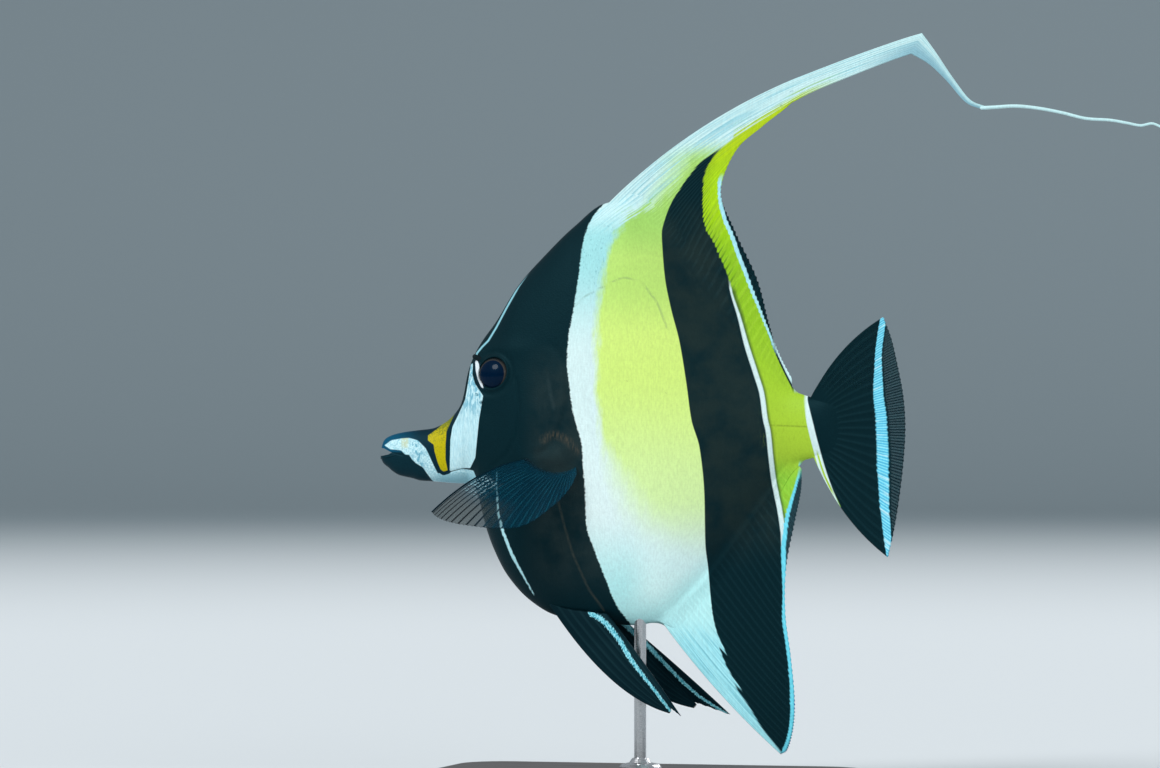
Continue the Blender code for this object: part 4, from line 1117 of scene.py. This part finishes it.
def paintRear(shade, c, at, level, along, streak):
    # the rear black band with the lime and the pale line behind it
    inFin = times(step(level, 99.4, 98.0), step(along, 200, 192))
    pointed = step(plus(level, times(streak, 9.0)), 103.5, 98.5)
    black = times(past(at["yellowEnd"], 0.3), inFin, pointed)
    for start, tipX, tipZ, reach in analSpurs:
        slant = plus(level, minus(along, tipX))
        away = minus(at["yellowEnd"], step(level, start, tipZ, 0.0, reach))
        black = times(black, minus(1.0, times(within(away, 0.2), past(slant, 0.25, tipZ))))
    brown = times(step(level, -44, -22), step(level, 84, 62), step(at["soft"], 0.15, 0.7))
    shade = layer(shade, mix(brown, c["black"], c["rearBlack"]), black)
    limeAway = plus(at["limeEdge"], times(minus(streak, 0.5), 9.0))
    upperLime = times(step(limeAway, -0.7, 0.7), step(along, 160, 142))
    behind = times(past(at["rearEnd"], 0.3), step(level, -33, -29))
    shade = layer(shade, paintLime(c, at, level), behind, most(inFin, upperLime))
    combed = times(step(comb(at["rayPhase"], 2), 0.1, 0.9), step(at["rearEnd"], 3.6, 0.2))
    hatched = times(combed, past(at["rearEnd"]), step(level, 46, 54), step(level, 96, 88))
    shade = layer(shade, c["hatch"], hatched, 0.6)
    rearAway = size(at["rearEnd"])
    shade = layer(shade, c["black"], within(rearAway, 0.7, 1.5), between(level, -31, 50), 0.7)
    line = within(minus(rearAway, step(level, 52, 26, 0.3, 0.8)), 0.25)
    return layer(shade, c["white"], line, step(level, -36, -33), step(level, 53, 49))


def paintMargins(shade, c, at, level, along):
    # rear margins of the dorsal and the anal fin, and how clear they are
    upper = times(step(level, 15, 18), step(along, 112, 114))
    line = size(at["dorsalLine"])
    thin = step(minus(line, step(level, 30, 60, 0.28, 0.62)), 0.2, -0.15)
    dorsalRim = times(upper, step(level, 82, 76), past(at["dorsalLine"], 0.25, 0.35))
    innerRim = times(upper, step(level, 40, 34), past(at["dorsalLine"], 0.25, -0.35))
    shade = layer(shade, c["black"], most(dorsalRim, innerRim))
    shade = layer(shade, c["rimLine"], upper, thin, step(level, 88, 84), step(level, 27, 33))
    shade = layer(shade, c["paleRim"], upper, step(level, 36, 27), past(at["dorsalLine"], 0.2, 0.3))
    lower = times(at["rayShow"], step(level, -6.0, -8.5), step(along, 151, 150))
    shade = layer(shade, c["cyan"], lower, past(at["analLine"], 0.25))
    shade = layer(shade, c["violet"], lower, step(level, -70, -82), past(at["analLine"], 0.3, 1.5))
    analAway = minus(at["analLine"], step(level, -9, -34, 0.7, 1.5))
    analRim = times(lower, step(level, -66, -56), past(analAway, 0.3))
    return layer(shade, c["margin"], analRim), most(times(analRim, 0.6), times(dorsalRim, 0.2))


def paintFront(shade, c, at, level, along):
    # the front black band, with its lines and those of the flank
    tree = level.id_data
    serration = noise(tree, 2200, 2, (0.5, 1, 1))
    front = within(plus(at["frontEdge"], step(serration, 0.3, 0.7, -0.2, 0.2)), 0.22)
    brown = times(step(along, 47, 60), step(level, 34, 16), step(level, -56, -34))
    black = layer(c["black"], c["brownBlack"], brown, step(at["soft"], 0.2, 0.65), 0.9)
    shade = layer(shade, black, front)
    core = mix(step(level, -24, -12), c["breast"], c["breastTop"])
    half = times(step(level, -14, -30, 0.12, 0.42), step(level, -52, -38, 0.25, 1.0))
    away = minus(plus(at["breastLine"], times(minus(at["fine"], 0.5), 0.9)), half)
    shade = layer(shade, core, front, step(away, 0.25, -0.15))
    for name, (soft, halfWidth, strength, colour, fades) in fineLines.items():
        masks = [step(at[key], *span) for key, span in fades.items()]
        if name in onFrontBand:
            masks.append(front)
        shade = layer(shade, colour, within(at[name], soft, halfWidth), *masks, strength)
    onStem = times(step(along, 128, 134), step(level, 16, 10), step(level, -4, 1))
    return layer(shade, c["stemMottle"], onStem, step(at["fine"], 0.5, 0.66), 0.3)


def paintFace(shade, c, at, level, along):
    tree = level.id_data
    stripe = within(at["stripe"])
    blueTop = times(step(level, 2, 15), step(noise(tree, 1300, 3, (1, 1, 0.3)), 0.42, 0.6))
    silk = step(noise(tree, 2600, 2, (1, 1, 0.12)), 0.3, 0.72)
    silver = mix(silk, c["silver"], c["silverDark"])
    shade = layer(shade, layer(silver, c["faceBlue"], blueTop, 0.85), stripe)
    snout, notStripe = step(along, 24.0, 22.0), minus(1.0, stripe)
    shade = layer(shade, mix(step(along, 2.0, 15.0), c["snoutBlue"], c["snoutDark"]), snout, notStripe)
    shade = layer(shade, c["jaw"], snout, step(level, -3.8, -4.6))
    mottle, speck = noise(tree, 700, 3, (1, 1, 0.6)), noise(tree, 1700, 3)
    pale = mix(step(speck, 0.38, 0.62), c["snoutPale"], c["snoutGrey"])
    blueSpot = times(step(mottle, 0.47, 0.58), step(along, 9.5, 11.0), step(along, 16.0, 13.5))
    pale = layer(pale, c["faceBlue"], blueSpot, 0.85)
    creamBar = times(step(along, 6.4, 7.4), step(along, 9.8, 8.8), step(level, -3.6, -2.0))
    pale = layer(pale, c["cream"], creamBar, step(speck, 0.3, 0.55), 0.8)
    pale = layer(pale, c["throat"], step(level, -9, -13), step(along, 15, 22))
    shade = layer(shade, pale, within(at["snoutWhite"], 0.15))
    shade = layer(shade, c["snoutDark"], within(at["saddle"], 0.15, 1.25), notStripe)
    climb = step(plus(level, times(minus(speck, 0.5), 14.0)), 0, 6.5, 0.0, 0.85)
    saddle = mix(climb, c["saddle"], c["saddleTop"])
    saddle = layer(saddle, c["saddleSpeck"], step(speck, 0.52, 0.66), 0.45)
    shade = layer(shade, saddle, within(at["saddle"], 0.15))
    shade = layer(shade, c["snoutDark"], within(at["eyeArc"], edge=0.45))
    return layer(shade, c["eyeArc"], within(at["eyeArc"], edge=-0.12))


def paintTail(shade, c, at, level, along, streak):
    # the tail fin, with its pale base and blue band, and its half clear rim
    tail = times(step(along, 143.5, 145.0), step(size(minus(level, 2.0)), 60, 56))
    fan = times(tail, past(at["tailBase"], 0.25, 0.3))
    shade = layer(shade, c["black"], fan)
    half = times(step(level, 16, 4, 0.6, 1.05), step(level, -22, -8, 0.1, 1.0))
    baseAway = size(at["tailBase"])
    shade = layer(shade, c["white"], tail, within(minus(baseAway, half), 0.2))
    shade = layer(shade, c["limeLow"], tail, within(baseAway, 0.15, 0.3), between(level, -17, -4))
    fineComb = comb(at["rayPhase"], 4)
    band = mix(step(fineComb, -0.3, 0.9), c["bandDark"], c["bandBlue"])
    band = layer(band, c["bandPale"], step(streak, 0.55, 0.68))
    shade = layer(shade, band, fan, step(size(at["tailBand"]), 1.15, 0.8))
    rim = times(fan, step(at["tailBand"], 1.15, 1.6))
    return layer(shade, mix(step(fineComb, -0.2, 0.7), c["rimGrey"], c["rimDark"]), rim), rim, fineComb


def makeMarkings():
    # colours of the whole fish from the distances that markPiece writes
    outputs = {"Colour": "Color", "Pale": "Float", "Clear": "Float"}
    group, given, out = newGroup("idolMarkings", {}, outputs)
    named = ["sideX", "sideZ", "sideAway", "limeEdge", "rayPhase", "rayShow", "skinOnly"]
    named += [*edgeShape, *lineShape, *outlineShape]
    at = {name: read(group, name) for name in named}
    at["fine"], at["soft"] = noise(group, 1800, 3, (1, 1, 0.25)), noise(group, 120, 3)
    streaks = useGroup(group, makeStreaks())
    streak, ray = streaks["Streak"], streaks["Ray"]
    at["blueStreak"] = step(streak, 0.46, 0.62)
    c, level, along = idolColours, at["sideZ"], at["sideX"]
    shade = paintPale(c, at, level, along, streak)
    shade = paintRear(shade, c, at, level, along, streak)
    shade, marginClear = paintMargins(shade, c, at, level, along)
    shade = paintFront(shade, c, at, level, along)
    shade = paintFace(shade, c, at, level, along)
    shade, tailRim, fineComb = paintTail(shade, c, at, level, along, streak)
    feed(out["Clear"], times(most(tailRim, marginClear), step(fineComb, 0.0, 0.9, 0.34, 0.08)))
    # Painted sheen and shade on the fins: the rays are lightened as a painted sheen on their ridges, and
    # the membrane between them is darkened as painted shade between the rays
    shade = mix(times(ray, 0.2), shade, c["paintedRaySheen"], "SOFT_LIGHT")
    shade = layer(shade, c["rayBlue"], ray, 0.01)
    membrane = times(minus(1.0, ray), at["rayShow"], 0.08)
    shade = mix(membrane, shade, c["membrane"], "MULTIPLY")
    tone = step(at["fine"], 0.25, 0.75, 0.93, 1.04)
    grey = addNode(group, "CombineColor", {0: tone, 1: tone, 2: tone}).outputs[0]
    shade = mix(1.0, shade, grey, "MULTIPLY")
    feed(out["Colour"], shade)
    feed(out["Pale"], step(addNode(group, "RGBToBW", {0: shade}).outputs[0], 0.02, 0.3))
    return group


def makeScales():
    # small rough scales
    group, given, out = newGroup("fineScales", {"Size": 0.9}, {"Height": "Float", "Edge": "Float"})
    place = addNode(group, "TexCoord", {}).outputs["Object"]
    perMetre = combine("DIVIDE", 1000.0, given["Size"])
    scaled = addNode(group, "VectorMath", {0: place, "Scale": perMetre}, operation="SCALE").outputs[0]
    inputs = {"Vector": scaled, "Scale": 1.0, "Randomness": 0.75}
    away = addNode(group, "TexVoronoi", inputs, feature="F1").outputs["Distance"]
    feed(out["Height"], step(away, 0.75, 0.0))
    feed(out["Edge"], step(away, 0.45, 0.8))
    return group


# Materials

socketNames = {
    "colour": "Base Color", "roughness": "Roughness", "normal": "Normal", "alpha": "Alpha",
    "metallic": "Metallic", "specular": "Specular IOR Level", "tint": "Specular Tint",
    "coat": "Coat Weight", "coatRoughness": "Coat Roughness", "coatTint": "Coat Tint",
}
blueSheen = (0.3, 0.85, 1.0)


def newMaterial(name):
    material = bpy.data.materials.new(name)
    material.use_nodes = True
    return material.node_tree, material.node_tree.nodes["Principled BSDF"], material


def finish(shader, **values):
    for key, value in values.items():
        feed(shader.inputs[socketNames[key]], value)


skinFinish = {
    "paleRoughness": 0.5, "darkRoughness": 0.52, "scaleSize": 0.7, "scaleBump": 0.25, "poreBump": 0.15,
    "scaleEdge": (0.25, 0.4, 0.42),
}
finFinish = {"roughness": 0.52, "segmentStep": 1.1, "segmentBump": 0.25}
pelvicLine = {
    "left": [
        (71.9, -57.0), (75.3, -58.7), (78.7, -61.9), (82.0, -66.0), (85.4, -71.6), (88.8, -76.0),
        (92.2, -80.0), (96.3, -85.1), (99.6, -89.0),
    ],
    "right": [
        (80.6, -57.8), (85.4, -62.7), (91.5, -68.0), (98.4, -75.2), (103.8, -80.5), (109.3, -85.1),
        (119.8, -91.6),
    ],
}
eyeFinish = {"pupil": 4.55, "iris": 5.35}


def makeSkinMaterial(markings, scales):
    tree, shader, material = newMaterial("idolSkinCoat")
    marks = useGroup(tree, markings)
    scale = useGroup(tree, scales, Size=skinFinish["scaleSize"])
    colour = mix(times(scale["Edge"], 0.07), marks["Colour"], skinFinish["scaleEdge"], "MULTIPLY")
    rough = step(marks["Pale"], 0.0, 1.0, skinFinish["darkRoughness"], skinFinish["paleRoughness"])
    bumped = roughen(scale["Height"], skinFinish["scaleBump"], 0.0001)
    pored = roughen(noise(tree, 3200, 3), skinFinish["poreBump"], 0.00006, bumped)
    finish(shader, colour=colour, roughness=rough, normal=pored, specular=0.1, tint=blueSheen)
    return material


def makeFinMaterial(markings):
    tree, shader, material = newMaterial("idolFinSkin")
    marks = useGroup(tree, markings)
    segments = combine("SINE", times(read(tree, "rayAlong"), 2 * math.pi / finFinish["segmentStep"]))
    segments = times(segments, step(comb(read(tree, "rayPhase")), 0.0, 0.9))
    bumped = roughen(segments, finFinish["segmentBump"], 0.00005)
    grained = roughen(noise(tree, 2400, 3), 0.2, 0.00005, bumped)
    finish(shader, colour=marks["Colour"], alpha=minus(1.0, marks["Clear"]), normal=grained)
    finish(shader, roughness=finFinish["roughness"], specular=0.1, tint=blueSheen)
    return material


def makePectoralMaterial():
    # half clear membrane with dark rays, a clearer front and a fine pale hatch, a painted highlight of the
    # body's front edge as if seen through the fin
    tree, shader, material = newMaterial("pectoralMembrane")
    phase, share = read(tree, "rayPhase"), read(tree, "rayShare")
    wave = comb(phase)
    ray = step(wave, 0.45, 0.98)
    lead, root = step(phase, 1.0, 0.4), step(share, 0.12, 0.02)
    free = times(step(share, 0.6, 0.85), step(phase, 13.0, 7.0))
    membrane = mix(free, (0.002, 0.034, 0.062), (0.07, 0.085, 0.08))
    membrane = layer(membrane, (0.006, 0.06, 0.10), step(phase, 19.0, 23.0))
    rayTone = mix(step(noise(tree, 260, 2), 0.4, 0.62), (0.002, 0.034, 0.060), (0.003, 0.052, 0.082))
    rayTone = layer(rayTone, (0.010, 0.014, 0.018), free)
    # The pale hatch is a painted highlight: glints of the body's front edge seen through the fin, also made
    # solid
    paintedGlintNoise = step(noise(tree, 2600, 2, (0.5, 0.5, 1.4)), 0.50, 0.62)
    hatch = times(step(share, 0.44, 0.50), step(share, 0.76, 0.66), step(phase, 0.8, 1.4))
    hatch = times(hatch, step(phase, 7.5, 5.0), paintedGlintNoise, step(wave, 0.3, -0.3))
    colour = layer(layer(membrane, rayTone, ray), (0.42, 0.66, 0.72), hatch, 0.8)
    colour = layer(layer(colour, (0.002, 0.012, 0.020), lead), (0.014, 0.02, 0.02), root)
    solid = most(most(most(lead, root), step(ray, 0.0, 1.0, 0.34, 0.85)), hatch)
    normal = roughen(noise(tree, 2000, 3), 0.12, 0.00004)
    finish(shader, colour=colour, alpha=solid, normal=normal, roughness=0.5, specular=0.06, tint=blueSheen)
    return material


def paleLineAway(piece, line):
    # distance to the pale line as the camera sees it, over its half width
    x, y, z = sideView(piece).T
    width = 1.05 - 0.5 * ease(-60, -88, z)
    return lineDistance(x + math.tan(viewTurn) * y, z, line) / width


def makePelvicMaterial():
    # black fin with a pale blue trailing line
    tree, shader, material = newMaterial("pelvicFinSkin")
    feather = noise(tree, 2300, 2, (1, 1, 0.6))
    away = plus(read(tree, "paleLine"), step(feather, 0.3, 0.7, -0.3, 0.3))
    rays = step(comb(read(tree, "rayPhase")), 0.2, 1.0)
    black = mix(rays, (0.0015, 0.010, 0.015), (0.004, 0.018, 0.024))
    blue = mix(step(feather, 0.35, 0.65), (0.30, 0.70, 0.78), (0.04, 0.34, 0.44))
    normal = roughen(noise(tree, 1500, 3), 0.3, 0.00005)
    finish(shader, colour=layer(black, blue, step(away, 0.95, 0.6)), normal=normal)
    finish(shader, roughness=0.52, specular=0.08, tint=blueSheen)
    return material


def makeEyeMaterial():
    tree, shader, material = newMaterial("idolEye")
    away, angle = read(tree, "eyeAway"), read(tree, "eyeAngle")
    pupil, rim = eyeFinish["pupil"], eyeFinish["iris"]
    spokes = times(combine("SINE", times(angle, 46.0)), 0.2)
    spokes = step(plus(spokes, noise(tree, 900, 4)), 0.35, 0.8)
    iris = mix(spokes, (0.006, 0.012, 0.018), (0.03, 0.026, 0.02))
    iris = layer(iris, (0.06, 0.05, 0.04), step(combine("COSINE", angle), 0.3, 1.0), 0.5)
    colour = mix(past(away, 0.12, pupil), (0.0002, 0.0075, 0.024), iris)
    ring = times(step(away, pupil - 0.05, pupil + 0.1), step(away, pupil + 0.5, pupil + 0.15))
    colour = layer(colour, (0.09, 0.075, 0.06), ring, 0.35)
    colour = layer(colour, (0.002, 0.006, 0.008), step(away, rim - 0.4, rim + 0.3))
    finish(shader, colour=colour, roughness=0.3, specular=0.03, tint=(0.2, 0.7, 1.0))
    finish(shader, coat=0.1, coatRoughness=0.03, coatTint=(0.5, 0.8, 1.0))
    return material


def makeHornMaterial():
    tree, shader, material = newMaterial("browHorn")
    grain = noise(tree, 1500, 3)
    colour = mix(grain, (0.0015, 0.008, 0.012), (0.006, 0.016, 0.020))
    finish(shader, colour=colour, normal=roughen(grain, 0.3, 0.0001), roughness=0.5, specular=0.1)
    return material


def makeWood():
    # dark stained and waxed wood of the base
    tree, shader, material = newMaterial("standWood")
    rings = noise(tree, 90, 6, (0.25, 2.2, 2.2), 0.6)
    fibre = noise(tree, 420, 4, (0.12, 4.0, 4.0), 0.6)
    grain = plus(times(rings, 0.65), times(fibre, 0.35))
    colour = mix(step(grain, 0.36, 0.64), (0.018, 0.010, 0.007), (0.075, 0.040, 0.024))
    finish(shader, colour=colour, roughness=step(fibre, 0.3, 0.7, 0.30, 0.44))
    finish(shader, normal=roughen(grain, 0.25, 0.0003), coat=0.25, coatRoughness=0.25)
    return material


def makeSteel():
    # brushed steel of the rod and its collar
    tree, shader, material = newMaterial("standSteel")
    brushed, wide = noise(tree, 700, 3, (1, 1, 18)), noise(tree, 60, 3)
    colour = mix(wide, (0.50, 0.51, 0.53), (0.66, 0.67, 0.68))
    finish(shader, colour=colour, roughness=step(brushed, 0.3, 0.7, 0.22, 0.38), metallic=1.0)
    finish(shader, normal=roughen(brushed, 0.12, 0.0001))
    return material


def wear(piece, material):
    piece.data.materials.clear()
    piece.data.materials.append(material)


def dress(piece, material, slotName, *replaced):
    # the piece wears its material, rides with the body and stands for its nodes
    wear(piece, material)
    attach(piece, "root")
    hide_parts(*replaced)


# Stage, light and camera

stageShape = {
    "floor": 4.6, "corner": 1.5, "around": 128, "colour": (0.68, 0.72, 0.74),
    "paintedWallShade": (0.15, 0.19, 0.21), "middle": 0.5, "steps": 16, "fade": (1.2, 4.4),
}
# Large soft lamps: where they shine from, strength, apparent size in degrees
lightShape = {
    "key": ((-0.75, -1.3, 1.25), 2.3, 24.0), "fill": ((1.3, -1.4, 0.5), 0.75, 40.0),
    "rim": ((0.7, 1.5, 1.0), 0.9, 20.0),
}
roomLight = {"colour": (0.85, 0.93, 1.0), "strength": 0.45}
cameraShape = {
    "distance": 2.0, "target": (-0.0205, 0.0, 0.1364), "widthSeen": 1160 * 0.33 * mm, "sensor": 36.0,
}


def makeStage():
    # a round floor that curves up into a plain wall on every side
    flat, corner = stageShape["floor"], stageShape["corner"]
    turns = np.linspace(0, math.pi / 2, stageShape["steps"])[1:]
    radii = np.concatenate([[0.0, stageShape["middle"], flat], flat + corner * np.sin(turns)])
    levels = np.concatenate([[0.0, 0.0, 0.0], corner * (1 - np.cos(turns))])
    around = np.linspace(0, 2 * math.pi, stageShape["around"] + 1)[:, None]
    floor = newGrid("stageFloor", len(around), len(radii))
    setPoints(floor, np.stack([np.cos(around) * radii, np.sin(around) * radii, levels + 0 * around], -1))
    editPiece(floor, lambda: bpy.ops.mesh.remove_doubles(threshold=1e-6))
    floor.data.shade_smooth()
    tree, shader, material = newMaterial("stagePaper")
    away = addNode(tree, "VectorMath", {0: objectPlace(tree)}, operation="LENGTH").outputs["Value"]
    # Painted shade: the floor is pale in the middle and darkens outward into a dark wall, as if the light
    # fell off away from the fish
    colour = mix(step(away, *stageShape["fade"]), stageShape["colour"], stageShape["paintedWallShade"])
    finish(shader, colour=colour, roughness=0.8)
    wear(floor, material)


def makeLights():
    for name, (place, strength, angle) in lightShape.items():
        light = bpy.data.lights.new(name + "Lamp", "SUN")
        light.energy, light.angle = strength, math.radians(angle)
        lamp = bpy.data.objects.new(name + "Lamp", light)
        bpy.context.scene.collection.objects.link(lamp)
        lamp.location = place
        lamp.rotation_euler = (-Vector(place)).to_track_quat("-Z", "Y").to_euler()
    world = bpy.data.worlds.new("softRoom")
    bpy.context.scene.world = world
    world.use_nodes = True
    room = world.node_tree.nodes["Background"]
    feed(room.inputs["Color"], roomLight["colour"])
    feed(room.inputs["Strength"], roomLight["strength"])
    bpy.context.scene.view_settings.view_transform = "Standard"


def makeCamera():
    data = bpy.data.cameras.new("photoCamera")
    camera = bpy.data.objects.new("photoCamera", data)
    bpy.context.scene.collection.objects.link(camera)
    back = Vector((math.sin(viewTurn), -math.cos(viewTurn), 0.0))
    camera.location = Vector(cameraShape["target"]) + back * cameraShape["distance"]
    camera.rotation_euler = (-back).to_track_quat("-Z", "Y").to_euler()
    data.sensor_width = cameraShape["sensor"]
    data.lens = cameraShape["sensor"] * cameraShape["distance"] / cameraShape["widthSeen"]
    data.clip_start, data.clip_end = 0.01, 100
    bpy.context.scene.camera = camera


print("building the skin")
markings = makeMarkings()
skin = makeSkin()
markPiece(skin)
markSkinRays(skin)
fleshNodes = ["head", "upper_jaw", "lower_jaw", "torso", "tail_stem", "gill_cover_left", "gill_cover_right"]
dress(skin, makeSkinMaterial(markings, makeScales()), "skin_dark", *fleshNodes)

print("building the middle fins")
finMaterial = makeFinMaterial(markings)
middleFins = [
    (makeDorsalFin(3), "fin_yellow", ["dorsal_fin", "dorsal_streamer_1", "dorsal_streamer_2"]),
    (makeThread(), "fin_pale", ["dorsal_streamer_3", "dorsal_streamer_4"]),
    (makeFin("analFin", "anal", rayShape["anal"], 5), "fin_dark", ["anal_fin"]),
    (makeFin("caudalFin", "caudal", rayShape["caudal"], 7), "fin_dark", ["caudal_fin"]),
]
for piece, slotName, replaced in middleFins:
    markPiece(piece)
    dress(piece, finMaterial, slotName, *replaced)

print("building the paired fins, eyes and horns")
pectoralMaterial, pelvicMaterial = makePectoralMaterial(), makePelvicMaterial()
eyeMaterial, hornMaterial = makeEyeMaterial(), makeHornMaterial()
for label, side in sides.items():
    title = label.capitalize()
    pectoral = makeFin("pectoralFin" + title, "pectoral", rayShape["pectoral"], 11, side)
    dress(pectoral, pectoralMaterial, "fin_dusky", "pectoral_fin_" + label)
    pelvicRays = rayShape["pelvic"] + [(rayShape["lastPelvicRoot"], rayShape["pelvicThread"][label], 0.6)]
    pelvic = makeFin("pelvicFin" + title, "pelvic", pelvicRays, 13, side)
    setValue(pelvic, "paleLine", paleLineAway(pelvic, pelvicLine[label]))
    dress(pelvic, pelvicMaterial, "fin_dark", "pelvic_fin_" + label)
    dress(makeEye("eyeball" + title, side), eyeMaterial, "eye_gloss", "eye_" + label)
    dress(makeHorn("browHorn" + title, side), hornMaterial, "skin_dark", "brow_horn_" + label)

print("finishing the stand")
standFinish = {"stand_base": (makeWood(), "stand_wood"), "stand_rod": (makeSteel(), "stand_steel")}
for nodeName, (material, slotName) in standFinish.items():
    wear(nodes[nodeName], material)

print("stage, light and camera")
makeStage()
makeLights()
makeCamera()
pick()
